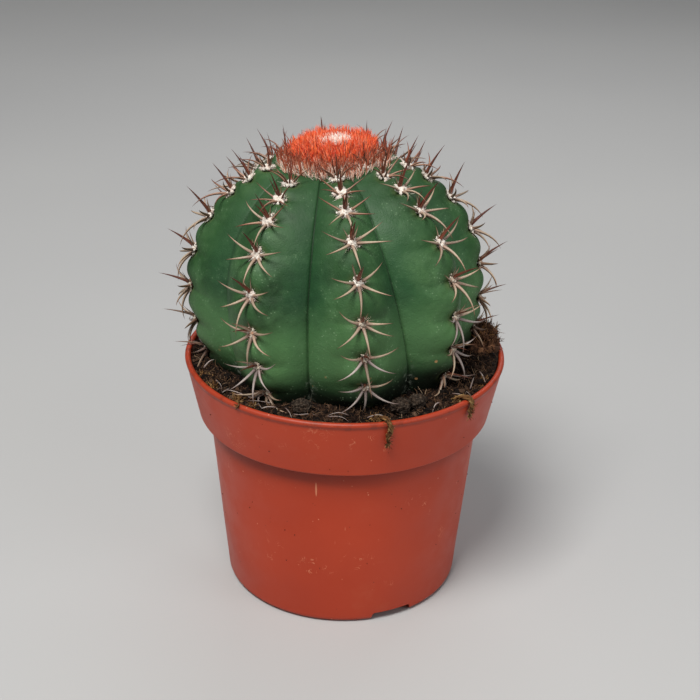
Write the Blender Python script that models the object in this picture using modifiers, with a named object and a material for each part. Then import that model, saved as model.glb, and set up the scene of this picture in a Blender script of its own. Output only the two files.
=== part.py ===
"""A round ribbed cactus with a bristly crown, growing in a round nursery pot.

Metres, +Z up. The pot stands on z = 0 with its front towards -Y, and the origin
is under the middle of the whole footprint, spines included. Azimuths are in
degrees from the front, growing towards +X.
"""

import math

import bmesh
import bpy
from mathutils import Matrix, Vector, noise

# Where the pot's own axis stands
POT_AXIS = Vector((0.0030, -0.0018, 0.0))

# Pot
POT_HEIGHT = 0.0816
RIM_RADIUS = 0.0525
LIP_HEIGHT = 0.0019
LIP_STEP = 0.0005
COLLAR_HEIGHT = 0.0204
COLLAR_FOOT_RADIUS = 0.0483
BODY_TOP_RADIUS = 0.0445
BODY_BASE_RADIUS = 0.0393
BASE_ROUNDING = 0.0022
EDGE_ROUNDING = 0.0006
FLOOR_ROUNDING = 0.0017
UNDERCUT = 0.0012
WALL = 0.0012
FOOT_RADIUS = 0.0380
FOOT_WIDTH = 0.0022
FOOT_DRAFT = 0.0004
FLOOR_LIFT = 0.0031
POT_STEPS = 64
NOTCH_AZIMUTHS = (26, 146, 266)
NOTCH_WIDTH = 0.0160
NOTCH_HEIGHT = 0.0029
NOTCH_SLANT = 0.0012
NOTCH_DEPTH = 0.0100
DRAIN_COUNT = 6
DRAIN_RADIUS = 0.0035
DRAIN_CIRCLE = 0.0250

# Gap between pieces that touch
GAP = 0.0003

# Soil
SOIL_LEVEL = 0.0795
SOIL_LUMPS = 0.0009
SOIL_STEPS = 48
MOUND_AZIMUTH = 102
MOUND_FROM_AXIS = 0.044
MOUND_RISE = 0.0048
MOUND_SPREAD = 0.0150

# Stem: a ribbed ball, leaning a little, on a tapering taproot
STEM_FOOT = Vector((0.0007, -0.0003, 0.0583))
STEM_LEAN_Y = math.radians(-4.9)
STEM_LEAN_X = math.radians(-2.0)
STEM_RADIUS = 0.0463
STEM_TOP = 0.0416
STEM_BOTTOM = 0.0482
TOP_POWER = 2.06
BOTTOM_POWER = 2.22
RIB_AZIMUTHS = (-84, -32, 11, 53, 91, 138, 184, 230)
RIB_COUNT = len(RIB_AZIMUTHS)
STEM_COLUMNS = 6
CROWN_ROWS = 4
ROWS_PER_SPACING = 3
UNDERSIDE_ROWS = 9
FURROW_DEPTH = 0.155
FURROW_POWER = 1.6
CRENATION = 0.0017
TAPROOT_LENGTH = 0.034
TAPROOT_FROM = math.radians(-72)
ROOT_COUNT = 6
ROOT_ROW = 1.5
ROOT_LENGTH = 0.021
ROOT_RADIUS = 0.0012

# Areoles: one row down each rib's crest
AREOLE_LATITUDES = (67, 58.5, 49.5, 36, 19.5, 3, -9, -21.5, -34)
ROW_PHASES = (0.0, 0.32, 0.0, -0.4, 0.05, 0.2, -0.3, -0.1)
FIRST_CLUSTER = 2
PAD_RADIUS = 0.0014
PAD_HEIGHT = 0.0010

# Spines of one areole: bearing from "up the rib", rise off the skin, curl, length, root radius
UPPER_PAIR = (22, 48, 10, 0.0062, 0.00030)
SIDE_PAIR = (72, 40, 34, 0.0092, 0.00042)
LOWER_PAIR = (122, 36, 34, 0.0092, 0.00042)
CENTRAL = (6, 58, -10, 0.0125, 0.00050)
LOWEST = (180, 34, 30, 0.00042)

# Down a rib: the size of each cluster, and the length of its lowest spine
CLUSTERS = (
    (0.78, 0.0066),
    (0.92, 0.0092),
    (1.00, 0.0096),
    (1.00, 0.0072),
    (0.98, 0.0070),
    (0.90, 0.0062),
)

# A cluster this near the soil has shorter hanging spines
LOW_ABOVE_SOIL = 0.0085
LOW_SIZE = 0.82
LOW_SHORTENING = 0.88

# Crown of bristles on the stem's top
CROWN_RADIUS = 0.0148
CROWN_HEIGHT = 0.0100
CROWN_OFFSET = 0.0024

# Loose bits on the soil and over the rim: azimuth, distance from the axis, half sizes
MOSS_CLUMP = (113, 0.0472, (0.0062, 0.0034, 0.0030))
CLODS = (
    (-14, 0.0455, (0.0036, 0.0028, 0.0024)),
    (21, 0.0450, (0.0034, 0.0027, 0.0023)),
    (33, 0.0462, (0.0030, 0.0024, 0.0021)),
)
STRANDS = (
    ("moss_strand_front", 15, 0.0090),
    ("moss_strand_right", 51, 0.0065),
)
STRAND_RADIUS = 0.0006


def clear_scene():
    for item in list(bpy.data.objects):
        bpy.data.objects.remove(item, do_unlink=True)


def make_collection(name):
    collection = bpy.data.collections.new(name)
    bpy.context.scene.collection.children.link(collection)
    return collection


def make_material(name, colour, roughness):
    material = bpy.data.materials.new(name)
    material.use_nodes = True
    shader = material.node_tree.nodes["Principled BSDF"]
    shader.inputs["Base Color"].default_value = (*colour, 1.0)
    shader.inputs["Roughness"].default_value = roughness
    shader.inputs["Metallic"].default_value = 0.0
    return material


def add_part(name, data, material, parent):
    """A visible piece of the object, smooth except at sharp edges."""
    part = bpy.data.objects.new(name, data)
    PARTS.objects.link(part)
    part.parent = parent
    if not data.materials:
        data.materials.append(material)
    if part.type == "MESH":
        data.shade_smooth()
        data.set_sharp_from_angle(angle=math.radians(40))
    return part


def add_cutter(name, data, parent):
    cutter = bpy.data.objects.new(name, data)
    CUTTERS.objects.link(cutter)
    cutter.parent = parent
    cutter.hide_render = True
    cutter.display_type = "WIRE"
    return cutter


def cut(part, cutter):
    boolean = part.modifiers.new(cutter.name, "BOOLEAN")
    boolean.operation = "DIFFERENCE"
    boolean.solver = "EXACT"
    boolean.object = cutter


def finished_mesh(bm, name):
    data = bpy.data.meshes.new(name)
    bm.to_mesh(data)
    bm.free()
    return data


def around(azimuth, radius, height=0.0):
    """A point at an azimuth in degrees from the front, towards +X."""
    angle = math.radians(azimuth)
    return Vector((radius * math.sin(angle), -radius * math.cos(angle), height))


def arc(centre, radius, start, end, count):
    """Points of an arc in the profile's plane; angles in degrees from +X."""
    points = []
    for step in range(count + 1):
        angle = math.radians(start + (end - start) * step / count)
        points.append((centre[0] + radius * math.cos(angle), centre[1] + radius * math.sin(angle)))
    return points


def turned(name, profile, steps):
    """A solid turned about Z from a profile whose two ends lie on the axis."""
    bm = bmesh.new()
    verts = [bm.verts.new((x, 0.0, z)) for x, z in profile]
    for first, second in zip(verts, verts[1:]):
        bm.edges.new((first, second))
    blank = bpy.data.objects.new(name, finished_mesh(bm, name))
    bpy.context.scene.collection.objects.link(blank)
    screw = blank.modifiers.new("turn", "SCREW")
    screw.axis = "Z"
    screw.steps = steps
    screw.render_steps = steps
    screw.use_merge_vertices = True
    screw.merge_threshold = 0.00005
    graph = bpy.context.evaluated_depsgraph_get()
    data = bpy.data.meshes.new_from_object(blank.evaluated_get(graph))
    data.name = name
    bpy.data.objects.remove(blank, do_unlink=True)
    return data


# Pot ------------------------------------------------------------------------------------------

COLLAR_TOP_RADIUS = RIM_RADIUS - LIP_STEP
COLLAR_FOOT = POT_HEIGHT - COLLAR_HEIGHT
BODY_TOP = COLLAR_FOOT - UNDERCUT
FLOOR_TOP = FLOOR_LIFT + WALL


def pot_inner_profile():
    """The inside from the middle of the floor up to the rim."""
    base = BODY_BASE_RADIUS - WALL
    collar = COLLAR_FOOT_RADIUS - WALL
    return [
        (0.0, FLOOR_TOP),
        (base - FLOOR_ROUNDING, FLOOR_TOP),
        (base, FLOOR_TOP + FLOOR_ROUNDING),
        (BODY_TOP_RADIUS - WALL, BODY_TOP + WALL),
        (collar - EDGE_ROUNDING, COLLAR_FOOT + WALL),
        (collar, COLLAR_FOOT + WALL + EDGE_ROUNDING),
        (COLLAR_TOP_RADIUS - WALL, POT_HEIGHT - LIP_HEIGHT),
    ]


def pot_outer_profile():
    """The lip, the collar, the tapered body and the foot, from the top down to the underside."""
    bead = LIP_HEIGHT / 2
    lip = arc((RIM_RADIUS - bead, POT_HEIGHT - bead), bead, 135, -70, 6)
    corner = (COLLAR_FOOT_RADIUS - EDGE_ROUNDING, COLLAR_FOOT + EDGE_ROUNDING)
    collar_edge = arc(corner, EDGE_ROUNDING, 0, -90, 2)
    base_edge = arc((BODY_BASE_RADIUS - BASE_ROUNDING, BASE_ROUNDING), BASE_ROUNDING, 0, -72, 3)
    foot_inside = FOOT_RADIUS - FOOT_WIDTH
    return [
        *lip,
        (COLLAR_TOP_RADIUS, POT_HEIGHT - LIP_HEIGHT - LIP_STEP / 2),
        *collar_edge,
        (BODY_TOP_RADIUS + EDGE_ROUNDING, COLLAR_FOOT),
        (BODY_TOP_RADIUS, BODY_TOP),
        *base_edge,
        (FOOT_RADIUS, 0.0),
        (foot_inside, 0.0),
        (foot_inside - FOOT_DRAFT, FLOOR_LIFT),
        (0.0, FLOOR_LIFT),
    ]


def notch_cutter():
    """A wedge through the foot ring, wider at the ground."""
    bm = bmesh.new()
    bmesh.ops.create_cube(bm, size=1.0)
    for vert in bm.verts:
        half_width = NOTCH_WIDTH / 2 - (NOTCH_SLANT if vert.co.z > 0 else 0.0)
        vert.co.x = math.copysign(half_width, vert.co.x)
        vert.co.y *= NOTCH_DEPTH
        vert.co.z = NOTCH_HEIGHT if vert.co.z > 0 else -NOTCH_HEIGHT
    return finished_mesh(bm, "foot_notch")


def drain_cutter():
    bm = bmesh.new()
    size = {"radius1": DRAIN_RADIUS, "radius2": DRAIN_RADIUS, "depth": 4 * WALL}
    bmesh.ops.create_cone(bm, cap_ends=True, segments=14, **size)
    return finished_mesh(bm, "drain_hole")


def build_pot(parent):
    terracotta = make_material("terracotta_plastic", (0.36, 0.085, 0.045), 0.5)
    profile = pot_inner_profile() + pot_outer_profile()
    pot = add_part("pot", turned("pot", profile, POT_STEPS), terracotta, parent)
    notch = notch_cutter()
    for azimuth in NOTCH_AZIMUTHS:
        cutter = add_cutter(f"notch_{azimuth}", notch, parent)
        cutter.location = around(azimuth, FOOT_RADIUS - FOOT_WIDTH / 2)
        cutter.rotation_euler.z = math.radians(azimuth)
        cut(pot, cutter)
    drain = drain_cutter()
    for index in range(DRAIN_COUNT):
        cutter = add_cutter(f"drain_{index + 1}", drain, parent)
        cutter.location = around(360 * index / DRAIN_COUNT, DRAIN_CIRCLE, FLOOR_LIFT + WALL / 2)
        cut(pot, cutter)
    return pot


# Stem -----------------------------------------------------------------------------------------


def row_latitudes(rib):
    """Latitudes in degrees of a rib's areoles, from the crown down, slid by the rib's phase."""
    phase = ROW_PHASES[rib]
    last = len(AREOLE_LATITUDES) - 1
    latitudes = []
    for index, latitude in enumerate(AREOLE_LATITUDES):
        upper = min(index, last - 1) if phase > 0 else max(index - 1, 0)
        spacing = AREOLE_LATITUDES[upper] - AREOLE_LATITUDES[upper + 1]
        latitudes.append(latitude - phase * spacing)
    return latitudes


def rib_azimuth(position):
    """Azimuth in radians; position counts the ribs and is whole on each crest."""
    rib = math.floor(position)
    here = RIB_AZIMUTHS[rib % RIB_COUNT]
    after = RIB_AZIMUTHS[(rib + 1) % RIB_COUNT]
    gap = (after - here) % 360
    return math.radians(here + gap * (position - rib))


def crenation(rib, latitude):
    """How far a crest swells between two areoles; 0 at each areole."""
    row = row_latitudes(rib)
    for above, below in zip(row, row[1:]):
        if below <= latitude <= above:
            across = (above - latitude) / (above - below)
            return CRENATION * math.sin(math.pi * across) ** 1.2
    return 0.0


def stem_point(position, latitude, clearance=0.0):
    """A point of the ribbed skin, from the stem's centre; latitude in radians."""
    upper = latitude > 0
    power = 2 / (TOP_POWER if upper else BOTTOM_POWER)
    half_height = STEM_TOP if upper else STEM_BOTTOM
    radius = STEM_RADIUS * max(math.cos(latitude), 0.0) ** power
    height = math.copysign(half_height * abs(math.sin(latitude)) ** power, latitude)
    rib = round(position)
    from_crest = 2 * abs(position - rib)
    fade = 1.0 - 0.7 * max(-latitude / (math.pi / 2), 0.0)
    radius *= 1.0 - FURROW_DEPTH * fade * from_crest**FURROW_POWER
    swell = crenation(rib % RIB_COUNT, math.degrees(latitude)) * (1.0 - from_crest) ** 2
    swell += clearance
    radius += swell * math.cos(latitude)
    height += swell * math.sin(latitude)
    if latitude < TAPROOT_FROM:
        down = (TAPROOT_FROM - latitude) / (TAPROOT_FROM + math.pi / 2)
        height -= TAPROOT_LENGTH * down**1.4
    azimuth = rib_azimuth(position)
    return Vector((radius * math.sin(azimuth), -radius * math.cos(azimuth), height))


def grow(bm, face, points, radii):
    """Extrude a face along a path into a tapering limb; the last point is its tip."""
    path = [face.calc_center_median(), *points]
    corner = 2 * math.pi / len(face.verts)
    for index, radius in enumerate(radii):
        heading = (path[index + 2] - path[index]).normalized()
        face = bmesh.ops.extrude_discrete_faces(bm, faces=[face])["faces"][0]
        centre = face.calc_center_median()
        spokes = [vert.co - centre for vert in face.verts]
        across = (spokes[0] - heading * spokes[0].dot(heading)).normalized()
        along = heading.cross(across)
        turns = [math.atan2(spoke.dot(along), spoke.dot(across)) for spoke in spokes]
        leads = [(turn + 0.001) % (2 * math.pi) - corner * k for k, turn in enumerate(turns)]
        lead = sum(leads) / len(leads)
        for k, vert in enumerate(face.verts):
            angle = lead + corner * k
            ring = across * math.cos(angle) + along * math.sin(angle)
            vert.co = path[index + 1] + ring * radius
    face = bmesh.ops.extrude_discrete_faces(bm, faces=[face])["faces"][0]
    bmesh.ops.pointmerge(bm, verts=face.verts[:], merge_co=path[-1])


def mesh_latitude(row, position):
    """Latitude of a row of the stem's mesh, so that rows meet the areoles on every crest."""
    here = math.floor(position)
    share = position - here
    latitudes = []
    for rib in (here % RIB_COUNT, (here + 1) % RIB_COUNT):
        knots = [90, *row_latitudes(rib), -90]
        counts = [CROWN_ROWS, *[ROWS_PER_SPACING] * (len(knots) - 3), UNDERSIDE_ROWS]
        left = row
        for above, below, count in zip(knots, knots[1:], counts):
            if left <= count:
                break
            left -= count
        latitudes.append(above + (below - above) * left / count)
    return math.radians(latitudes[0] * (1 - share) + latitudes[1] * share)


def stem_mesh(name, clearance=0.0):
    """The ribbed ball and its taproot, a UV sphere drawn out to the rib shape, with side roots."""
    columns = RIB_COUNT * STEM_COLUMNS
    rows = CROWN_ROWS + ROWS_PER_SPACING * (len(AREOLE_LATITUDES) - 1) + UNDERSIDE_ROWS
    bm = bmesh.new()
    bmesh.ops.create_uvsphere(bm, u_segments=columns, v_segments=rows, radius=1.0)
    positions = [RIB_COUNT * (index + 0.3) / ROOT_COUNT for index in range(ROOT_COUNT)]
    faces = [face_at(bm, position, rows - ROOT_ROW, rows) for position in positions]
    for vert in bm.verts:
        polar = math.acos(max(-1.0, min(1.0, vert.co.z)))
        turn = math.atan2(vert.co.y, vert.co.x) % (2 * math.pi)
        position = round(turn / (2 * math.pi) * columns) / STEM_COLUMNS
        latitude = mesh_latitude(round(polar / math.pi * rows), position)
        vert.co = stem_point(position, latitude, clearance)
    for index, (face, position) in enumerate(zip(faces, positions)):
        start = stem_point(position, mesh_latitude(rows - ROOT_ROW, position))
        add_root(bm, face, start, index, clearance)
    bmesh.ops.recalc_face_normals(bm, faces=bm.faces)
    bmesh.ops.triangulate(bm, faces=bm.faces, quad_method="FIXED")
    return finished_mesh(bm, name)


def face_at(bm, position, row, rows):
    """The face of the plain sphere nearest to a place on the stem's grid."""
    turn = 2 * math.pi * position / RIB_COUNT
    polar = math.pi * row / rows
    flat = math.sin(polar)
    place = Vector((flat * math.cos(turn), flat * math.sin(turn), math.cos(polar)))
    squares = (face for face in bm.faces if len(face.verts) == 4)
    return min(squares, key=lambda face: (face.calc_center_median() - place).length)


def add_root(bm, face, start, index, clearance):
    """A side root that leaves the taproot and droops outwards."""
    out = Vector((start.x, start.y, 0.0)).normalized()
    middle = face.calc_center_median()
    for vert in face.verts:
        vert.co += (vert.co - middle).normalized() * clearance / 2
    aside = Vector((-out.y, out.x, 0.0)) * (0.004 if index % 2 else -0.004)
    drop = 0.004 + 0.003 * (index % 3)
    points = []
    for share in (0.2, 0.6, 1.0):
        sideways = out * ROOT_LENGTH * share + aside * share**2
        points.append(start + sideways - Vector((0, 0, drop * share)))
    points[-1] += (points[-1] - points[-2]).normalized() * 2 * clearance
    grow(bm, face, points, (ROOT_RADIUS + 2 * clearance, 0.6 * ROOT_RADIUS + clearance))


def build_stem(parent, lean):
    green = make_material("cactus_skin", (0.045, 0.12, 0.045), 0.45)
    stem = add_part("stem", stem_mesh("stem"), green, parent)
    stem.location = STEM_FOOT + lean @ Vector((0, 0, STEM_BOTTOM))
    stem.rotation_euler = lean.to_euler()
    space = add_cutter("stem_space", stem_mesh("stem_space", GAP), parent)
    space.location = stem.location
    space.rotation_euler = stem.rotation_euler
    return stem, space


# Spine clusters -------------------------------------------------------------------------------


def spine_path(start, bearing, rise, curl, length):
    """Two points of a spine that leaves at a rise and bends by its curl."""
    points = []
    place = start
    for share in (0.5, 0.5):
        tilt = math.radians(rise)
        side = math.radians(bearing)
        flat = Vector((math.sin(side), math.cos(side), 0.0)) * math.cos(tilt)
        place = place + (flat + Vector((0, 0, math.sin(tilt)))) * length * share
        points.append(place)
        rise -= curl
    return points


def scaled(spine, size):
    bearing, rise, curl, length, radius = spine
    return (bearing, rise, curl, length * size, radius)


def cluster_mesh(name, size, lowest_length, shortening):
    """A woolly pad with seven spread spines and a longer central one, as one body.

    +Z leaves the skin and +Y runs up the rib. Shortening takes from the spines that hang.
    """
    bm = bmesh.new()
    turn = Matrix.Rotation(math.radians(-90), 4, "Z")
    bmesh.ops.create_uvsphere(bm, u_segments=9, v_segments=4, radius=1.0, matrix=turn)
    bmesh.ops.scale(bm, vec=(PAD_RADIUS, PAD_RADIUS, PAD_HEIGHT), verts=bm.verts)
    *lowest_shape, lowest_radius = LOWEST
    spines = [(*lowest_shape, lowest_length, lowest_radius), scaled(CENTRAL, size)]
    for pair in (UPPER_PAIR, SIDE_PAIR, LOWER_PAIR):
        bearing, *shape = scaled(pair, size)
        spines += [(bearing, *shape), (-bearing, *shape)]
    free = [face for face in bm.faces if face.calc_center_median().z > 0]
    sides = [face for face in free if len(face.verts) == 4]
    tops = [face for face in free if len(face.verts) == 3]
    for bearing, rise, curl, length, radius in spines:
        hanging = max(-math.cos(math.radians(bearing)), 0.0)
        length *= 1.0 - shortening * hanging
        faces = tops if bearing == CENTRAL[0] else sides
        angle = math.radians(bearing)
        wanted = Vector((math.sin(angle), math.cos(angle), 0.0))
        face = max(faces, key=lambda item: item.calc_center_median().xy.normalized().dot(wanted.xy))
        faces.remove(face)
        points = spine_path(face.calc_center_median(), bearing, rise, curl, length)
        grow(bm, face, points, (radius,))
    bmesh.ops.recalc_face_normals(bm, faces=bm.faces)
    return finished_mesh(bm, name)


def areole_frame(rib, latitude):
    """The turn and place of an areole on its crest: Z outwards, Y up the rib."""
    angle = math.radians(latitude)
    step = math.radians(2)
    up = stem_point(rib, angle + step) - stem_point(rib, angle - step)
    side = stem_point(rib + 0.05, angle) - stem_point(rib - 0.05, angle)
    up.normalize()
    out = side.cross(up).normalized()
    across = up.cross(out)
    frame = Matrix((across, up, out)).transposed().to_4x4()
    frame.translation = stem_point(rib, angle) + out * (PAD_HEIGHT + GAP)
    return frame


def build_spines(stem, lean):
    bone = make_material("spines", (0.42, 0.24, 0.16), 0.5)
    for place, (size, lowest_length) in enumerate(CLUSTERS):
        free = cluster_mesh(f"spine_cluster_{place + 1}", size, lowest_length, 0.0)
        low = cluster_mesh(f"low_{place + 1}", LOW_SIZE * size, lowest_length, LOW_SHORTENING)
        for rib in range(RIB_COUNT):
            frame = areole_frame(rib, row_latitudes(rib)[FIRST_CLUSTER + place])
            spot = stem.location + lean @ frame.translation
            above_soil = spot.z - soil_height(spot.x, spot.y)
            mesh = low if above_soil < LOW_ABOVE_SOIL else free
            cluster = add_part(f"spines_rib{rib + 1}_{place + 1}", mesh, bone, stem)
            cluster.location = frame.translation
            cluster.rotation_euler = frame.to_euler()


# Crown of bristles ----------------------------------------------------------------------------


def build_crown(stem, space):
    scarlet = make_material("crown_bristles", (0.62, 0.11, 0.05), 0.7)
    bm = bmesh.new()
    bmesh.ops.create_uvsphere(bm, u_segments=28, v_segments=10, radius=1.0)
    bmesh.ops.scale(bm, vec=(CROWN_RADIUS, CROWN_RADIUS, CROWN_HEIGHT), verts=bm.verts)
    crown = add_part("crown", finished_mesh(bm, "crown"), scarlet, stem)
    crown.location = Vector((CROWN_OFFSET, 0.0, STEM_TOP))
    cut(crown, space)
    return crown


# Soil and what lies on it ---------------------------------------------------------------------


def soil_height(x, y):
    """Height of the soil's surface: nearly level, lumpy, with a mound at the right and back."""
    mound = around(MOUND_AZIMUTH, MOUND_FROM_AXIS)
    away = math.hypot(x - mound.x, y - mound.y) / MOUND_SPREAD
    lumps = noise.noise(Vector((x, y, 0.0)) * 160.0)
    return SOIL_LEVEL + MOUND_RISE * math.exp(-away * away / 2) + SOIL_LUMPS * lumps


def soil_profile():
    """Top, side and bottom of the soil, from the axis out and back to the axis."""
    edge = COLLAR_TOP_RADIUS - WALL - GAP - 0.0005
    top = [(edge * share, SOIL_LEVEL) for share in (0.0, 0.35, 0.65, 0.76, 0.85, 0.93, 1.0)]
    inside = pot_inner_profile()[1:-1]
    side = [(x - GAP, z + GAP) for x, z in reversed(inside)]
    return [*top, *side, (0.0, FLOOR_TOP + GAP)]


def build_soil(parent, space):
    peat = make_material("peat_soil", (0.045, 0.026, 0.017), 0.95)
    mesh = turned("soil", soil_profile(), SOIL_STEPS)
    for vert in mesh.vertices:
        if vert.co.z > SOIL_LEVEL - 0.0001:
            vert.co.z = soil_height(vert.co.x, vert.co.y)
    soil = add_part("soil", mesh, peat, parent)
    cut(soil, space)
    return soil


def build_lump(name, azimuth, from_axis, half_sizes, material, parent):
    """A rough lump lying on the soil, its underside following the surface."""
    place = around(azimuth, from_axis)
    place.z = soil_height(place.x, place.y)
    bm = bmesh.new()
    bmesh.ops.create_icosphere(bm, subdivisions=2, radius=1.0)
    turn = Matrix.Rotation(math.radians(azimuth), 3, "Z")
    for vert in bm.verts:
        rough = 1.0 + 0.22 * noise.noise(vert.co * 1.7 + place * 900.0)
        shape = Vector(half * axis for half, axis in zip(half_sizes, vert.co * rough))
        shape = turn @ shape
        shape.z += half_sizes[2] * 0.55
        ground = soil_height(place.x + shape.x, place.y + shape.y) - place.z
        shape.z = max(shape.z, ground + 2 * GAP)
        vert.co = shape
    lump = add_part(name, finished_mesh(bm, name), material, parent)
    lump.location = place
    return lump


def build_strand(name, azimuth, hang, material, parent):
    """A strand of moss that leaves the soil, crosses the lip and hangs down the collar."""
    clear = STRAND_RADIUS + GAP + 0.0002
    outside = RIM_RADIUS + clear
    route = (
        (RIM_RADIUS - 0.0070, SOIL_LEVEL + 0.0020, -2.0),
        (RIM_RADIUS - 0.0030, POT_HEIGHT + clear - 0.0002, -1.0),
        (RIM_RADIUS - 0.0008, POT_HEIGHT + clear + 0.0001, 0.0),
        (outside, POT_HEIGHT - LIP_HEIGHT / 2, 0.3),
        (outside - 0.0005, POT_HEIGHT - LIP_HEIGHT - hang * 0.45, 0.0),
        (outside - 0.0010, POT_HEIGHT - LIP_HEIGHT - hang, -0.9),
    )
    curve = bpy.data.curves.new(name, "CURVE")
    curve.dimensions = "3D"
    curve.bevel_depth = STRAND_RADIUS
    curve.bevel_resolution = 1
    curve.use_fill_caps = True
    spline = curve.splines.new("POLY")
    spline.points.add(len(route) - 1)
    for point, (radius, height, bend) in zip(spline.points, route):
        point.co = (*around(azimuth + bend, radius, height), 1.0)
        point.radius = 1.0 if height > POT_HEIGHT - 0.006 else 0.7
    return add_part(name, curve, material, parent)


def build_loose_bits(parent):
    moss = make_material("dry_moss", (0.17, 0.115, 0.045), 0.95)
    clod = make_material("peat_clod", (0.06, 0.038, 0.026), 0.95)
    azimuth, from_axis, half_sizes = MOSS_CLUMP
    build_lump("moss_clump", azimuth, from_axis, half_sizes, moss, parent)
    for index, (azimuth, from_axis, half_sizes) in enumerate(CLODS):
        build_lump(f"peat_clod_{index + 1}", azimuth, from_axis, half_sizes, clod, parent)
    for name, azimuth, hang in STRANDS:
        build_strand(name, azimuth, hang, moss, parent)


clear_scene()
PARTS = make_collection("potted_round_cactus")
CUTTERS = make_collection("cutters")
AXIS = bpy.data.objects.new("pot_axis", None)
PARTS.objects.link(AXIS)
AXIS.location = POT_AXIS

build_pot(AXIS)
LEAN = Matrix.Rotation(STEM_LEAN_X, 3, "X") @ Matrix.Rotation(STEM_LEAN_Y, 3, "Y")
STEM, STEM_SPACE = build_stem(AXIS, LEAN)
build_spines(STEM, LEAN)
build_crown(STEM, STEM_SPACE)
build_soil(AXIS, STEM_SPACE)
build_loose_bits(AXIS)
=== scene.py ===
"""Looks of a round ribbed cactus with a red bristly crown, in a round nursery pot.

Metres, +Z up, front towards -Y. Azimuths are in degrees from the front, growing towards +X.
Thin pieces (spines, bristles, wool, fibres) carry a UV map on which U runs from root to tip
and V holds a numbered band for each strand, so that one material varies from strand to strand.
"""

from math import copysign, cos, degrees, exp, hypot, pi, radians, sin
import bmesh
import bpy
import numpy as np
from mathutils import Matrix, Vector, bvhtree
from mathutils.noise import noise


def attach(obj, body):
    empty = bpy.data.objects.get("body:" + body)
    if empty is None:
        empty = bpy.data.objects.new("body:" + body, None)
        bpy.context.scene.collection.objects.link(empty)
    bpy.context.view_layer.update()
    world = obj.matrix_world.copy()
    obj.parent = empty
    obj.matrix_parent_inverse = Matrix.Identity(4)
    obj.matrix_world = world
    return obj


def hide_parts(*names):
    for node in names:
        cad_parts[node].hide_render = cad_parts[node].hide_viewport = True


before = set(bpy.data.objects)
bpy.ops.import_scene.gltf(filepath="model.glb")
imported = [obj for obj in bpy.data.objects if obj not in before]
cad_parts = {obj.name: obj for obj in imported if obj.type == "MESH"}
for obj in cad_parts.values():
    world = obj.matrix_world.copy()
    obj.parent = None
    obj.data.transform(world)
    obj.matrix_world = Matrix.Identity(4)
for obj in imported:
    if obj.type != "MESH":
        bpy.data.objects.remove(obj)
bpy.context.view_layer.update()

MM = 0.001
TAU = 2 * pi

# Frame dimensions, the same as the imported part's

POT_AXIS = Vector((0.0030, -0.0018, 0.0))
POT_HEIGHT, RIM_RADIUS, WALL = 0.0816, 0.0525, 0.0012
LIP_HEIGHT, LIP_STEP = 0.0019, 0.0005
COLLAR_FOOT, COLLAR_FOOT_RADIUS = 0.0612, 0.0483
BODY_TOP, BODY_TOP_RADIUS = 0.0600, 0.0445
BODY_BASE_RADIUS, BASE_ROUNDING = 0.0393, 0.0022
FOOT_RADIUS, FOOT_WIDTH, FLOOR_LIFT = 0.0380, 0.0022, 0.0031
NOTCH_AZIMUTHS = (26, 146, 266)
NOTCH_WIDTH, NOTCH_HEIGHT, NOTCH_SLANT, NOTCH_DEPTH = 0.0160, 0.0029, 0.0012, 0.0100
DRAIN_COUNT, DRAIN_RADIUS, DRAIN_CIRCLE = 6, 0.0035, 0.0250

SOIL_LEVEL, SOIL_LUMPS = 0.0795, 0.0009
MOUND_AZIMUTH, MOUND_FROM_AXIS, MOUND_RISE, MOUND_SPREAD = 102, 0.044, 0.0048, 0.0150
SOIL_EDGE = RIM_RADIUS - LIP_STEP - WALL - 0.0004

STEM_FOOT = Vector((0.0007, -0.0003, 0.0583))
STEM_LEAN_X, STEM_LEAN_Y = radians(-2.0), radians(-4.9)
STEM_RADIUS, STEM_TOP, STEM_BOTTOM = 0.0463, 0.0416, 0.0482
TOP_POWER, BOTTOM_POWER = 2.06, 2.22
RIB_AZIMUTHS = (-84, -32, 11, 53, 91, 138, 184, 230)
RIB_COUNT = len(RIB_AZIMUTHS)
# how far two of the furrows wander sideways: latitude, degrees of azimuth
FURROW_BENDS = {
    1: ((90, 4.5), (60, 4.5), (25, 1.7), (-28, -4.1), (-60, -5.0), (-90, -5.0)),
    2: ((90, -5.0), (58, -5.2), (32, -5.4), (6, -3.0), (-9, 0.7), (-31, 4.8), (-60, 5.0)),
}
FURROW_DEPTH, FURROW_POWER, CRENATION = 0.155, 1.6, 0.0017
TAPROOT_LENGTH, TAPROOT_FROM = 0.034, radians(-72)
AREOLE_LATITUDES = (67, 58.5, 49.5, 36, 19.5, 3, -9, -21.5, -34)
ROW_PHASES = (0.0, 0.32, 0.0, -0.4, 0.05, 0.2, -0.3, -0.1)

LEAN = Matrix.Rotation(STEM_LEAN_X, 3, "X") @ Matrix.Rotation(STEM_LEAN_Y, 3, "Y")
STEM_FRAME = Matrix.Translation(POT_AXIS + STEM_FOOT + LEAN @ Vector((0, 0, STEM_BOTTOM)))
STEM_FRAME = STEM_FRAME @ LEAN.to_4x4()
POT_FRAME = Matrix.Translation(POT_AXIS)
STEM_IN_POT = POT_FRAME.inverted() @ STEM_FRAME

# Mesh helpers

BANDS = 64  # numbered bands across V, one strand to a band
BAND_START, BAND_SHARE = 0.06, 0.88  # the part of its band that a tube takes up
FREE_NORMAL = (0.37, 0.21, 0.9)  # where a tube's first side faces, unless it is said
SHARP = radians(48)  # edges above this angle are kept sharp


def unit(vectors):
    vectors = np.asarray(vectors, float)
    return vectors / np.maximum(np.linalg.norm(vectors, axis=-1, keepdims=True), 1e-12)


def polar(angle, reach, height):
    """Points (count, 3) at angles from +Y towards +X."""
    out = reach * np.sin(angle)
    return np.stack([out, reach * np.cos(angle), height + 0 * out], 1)


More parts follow.
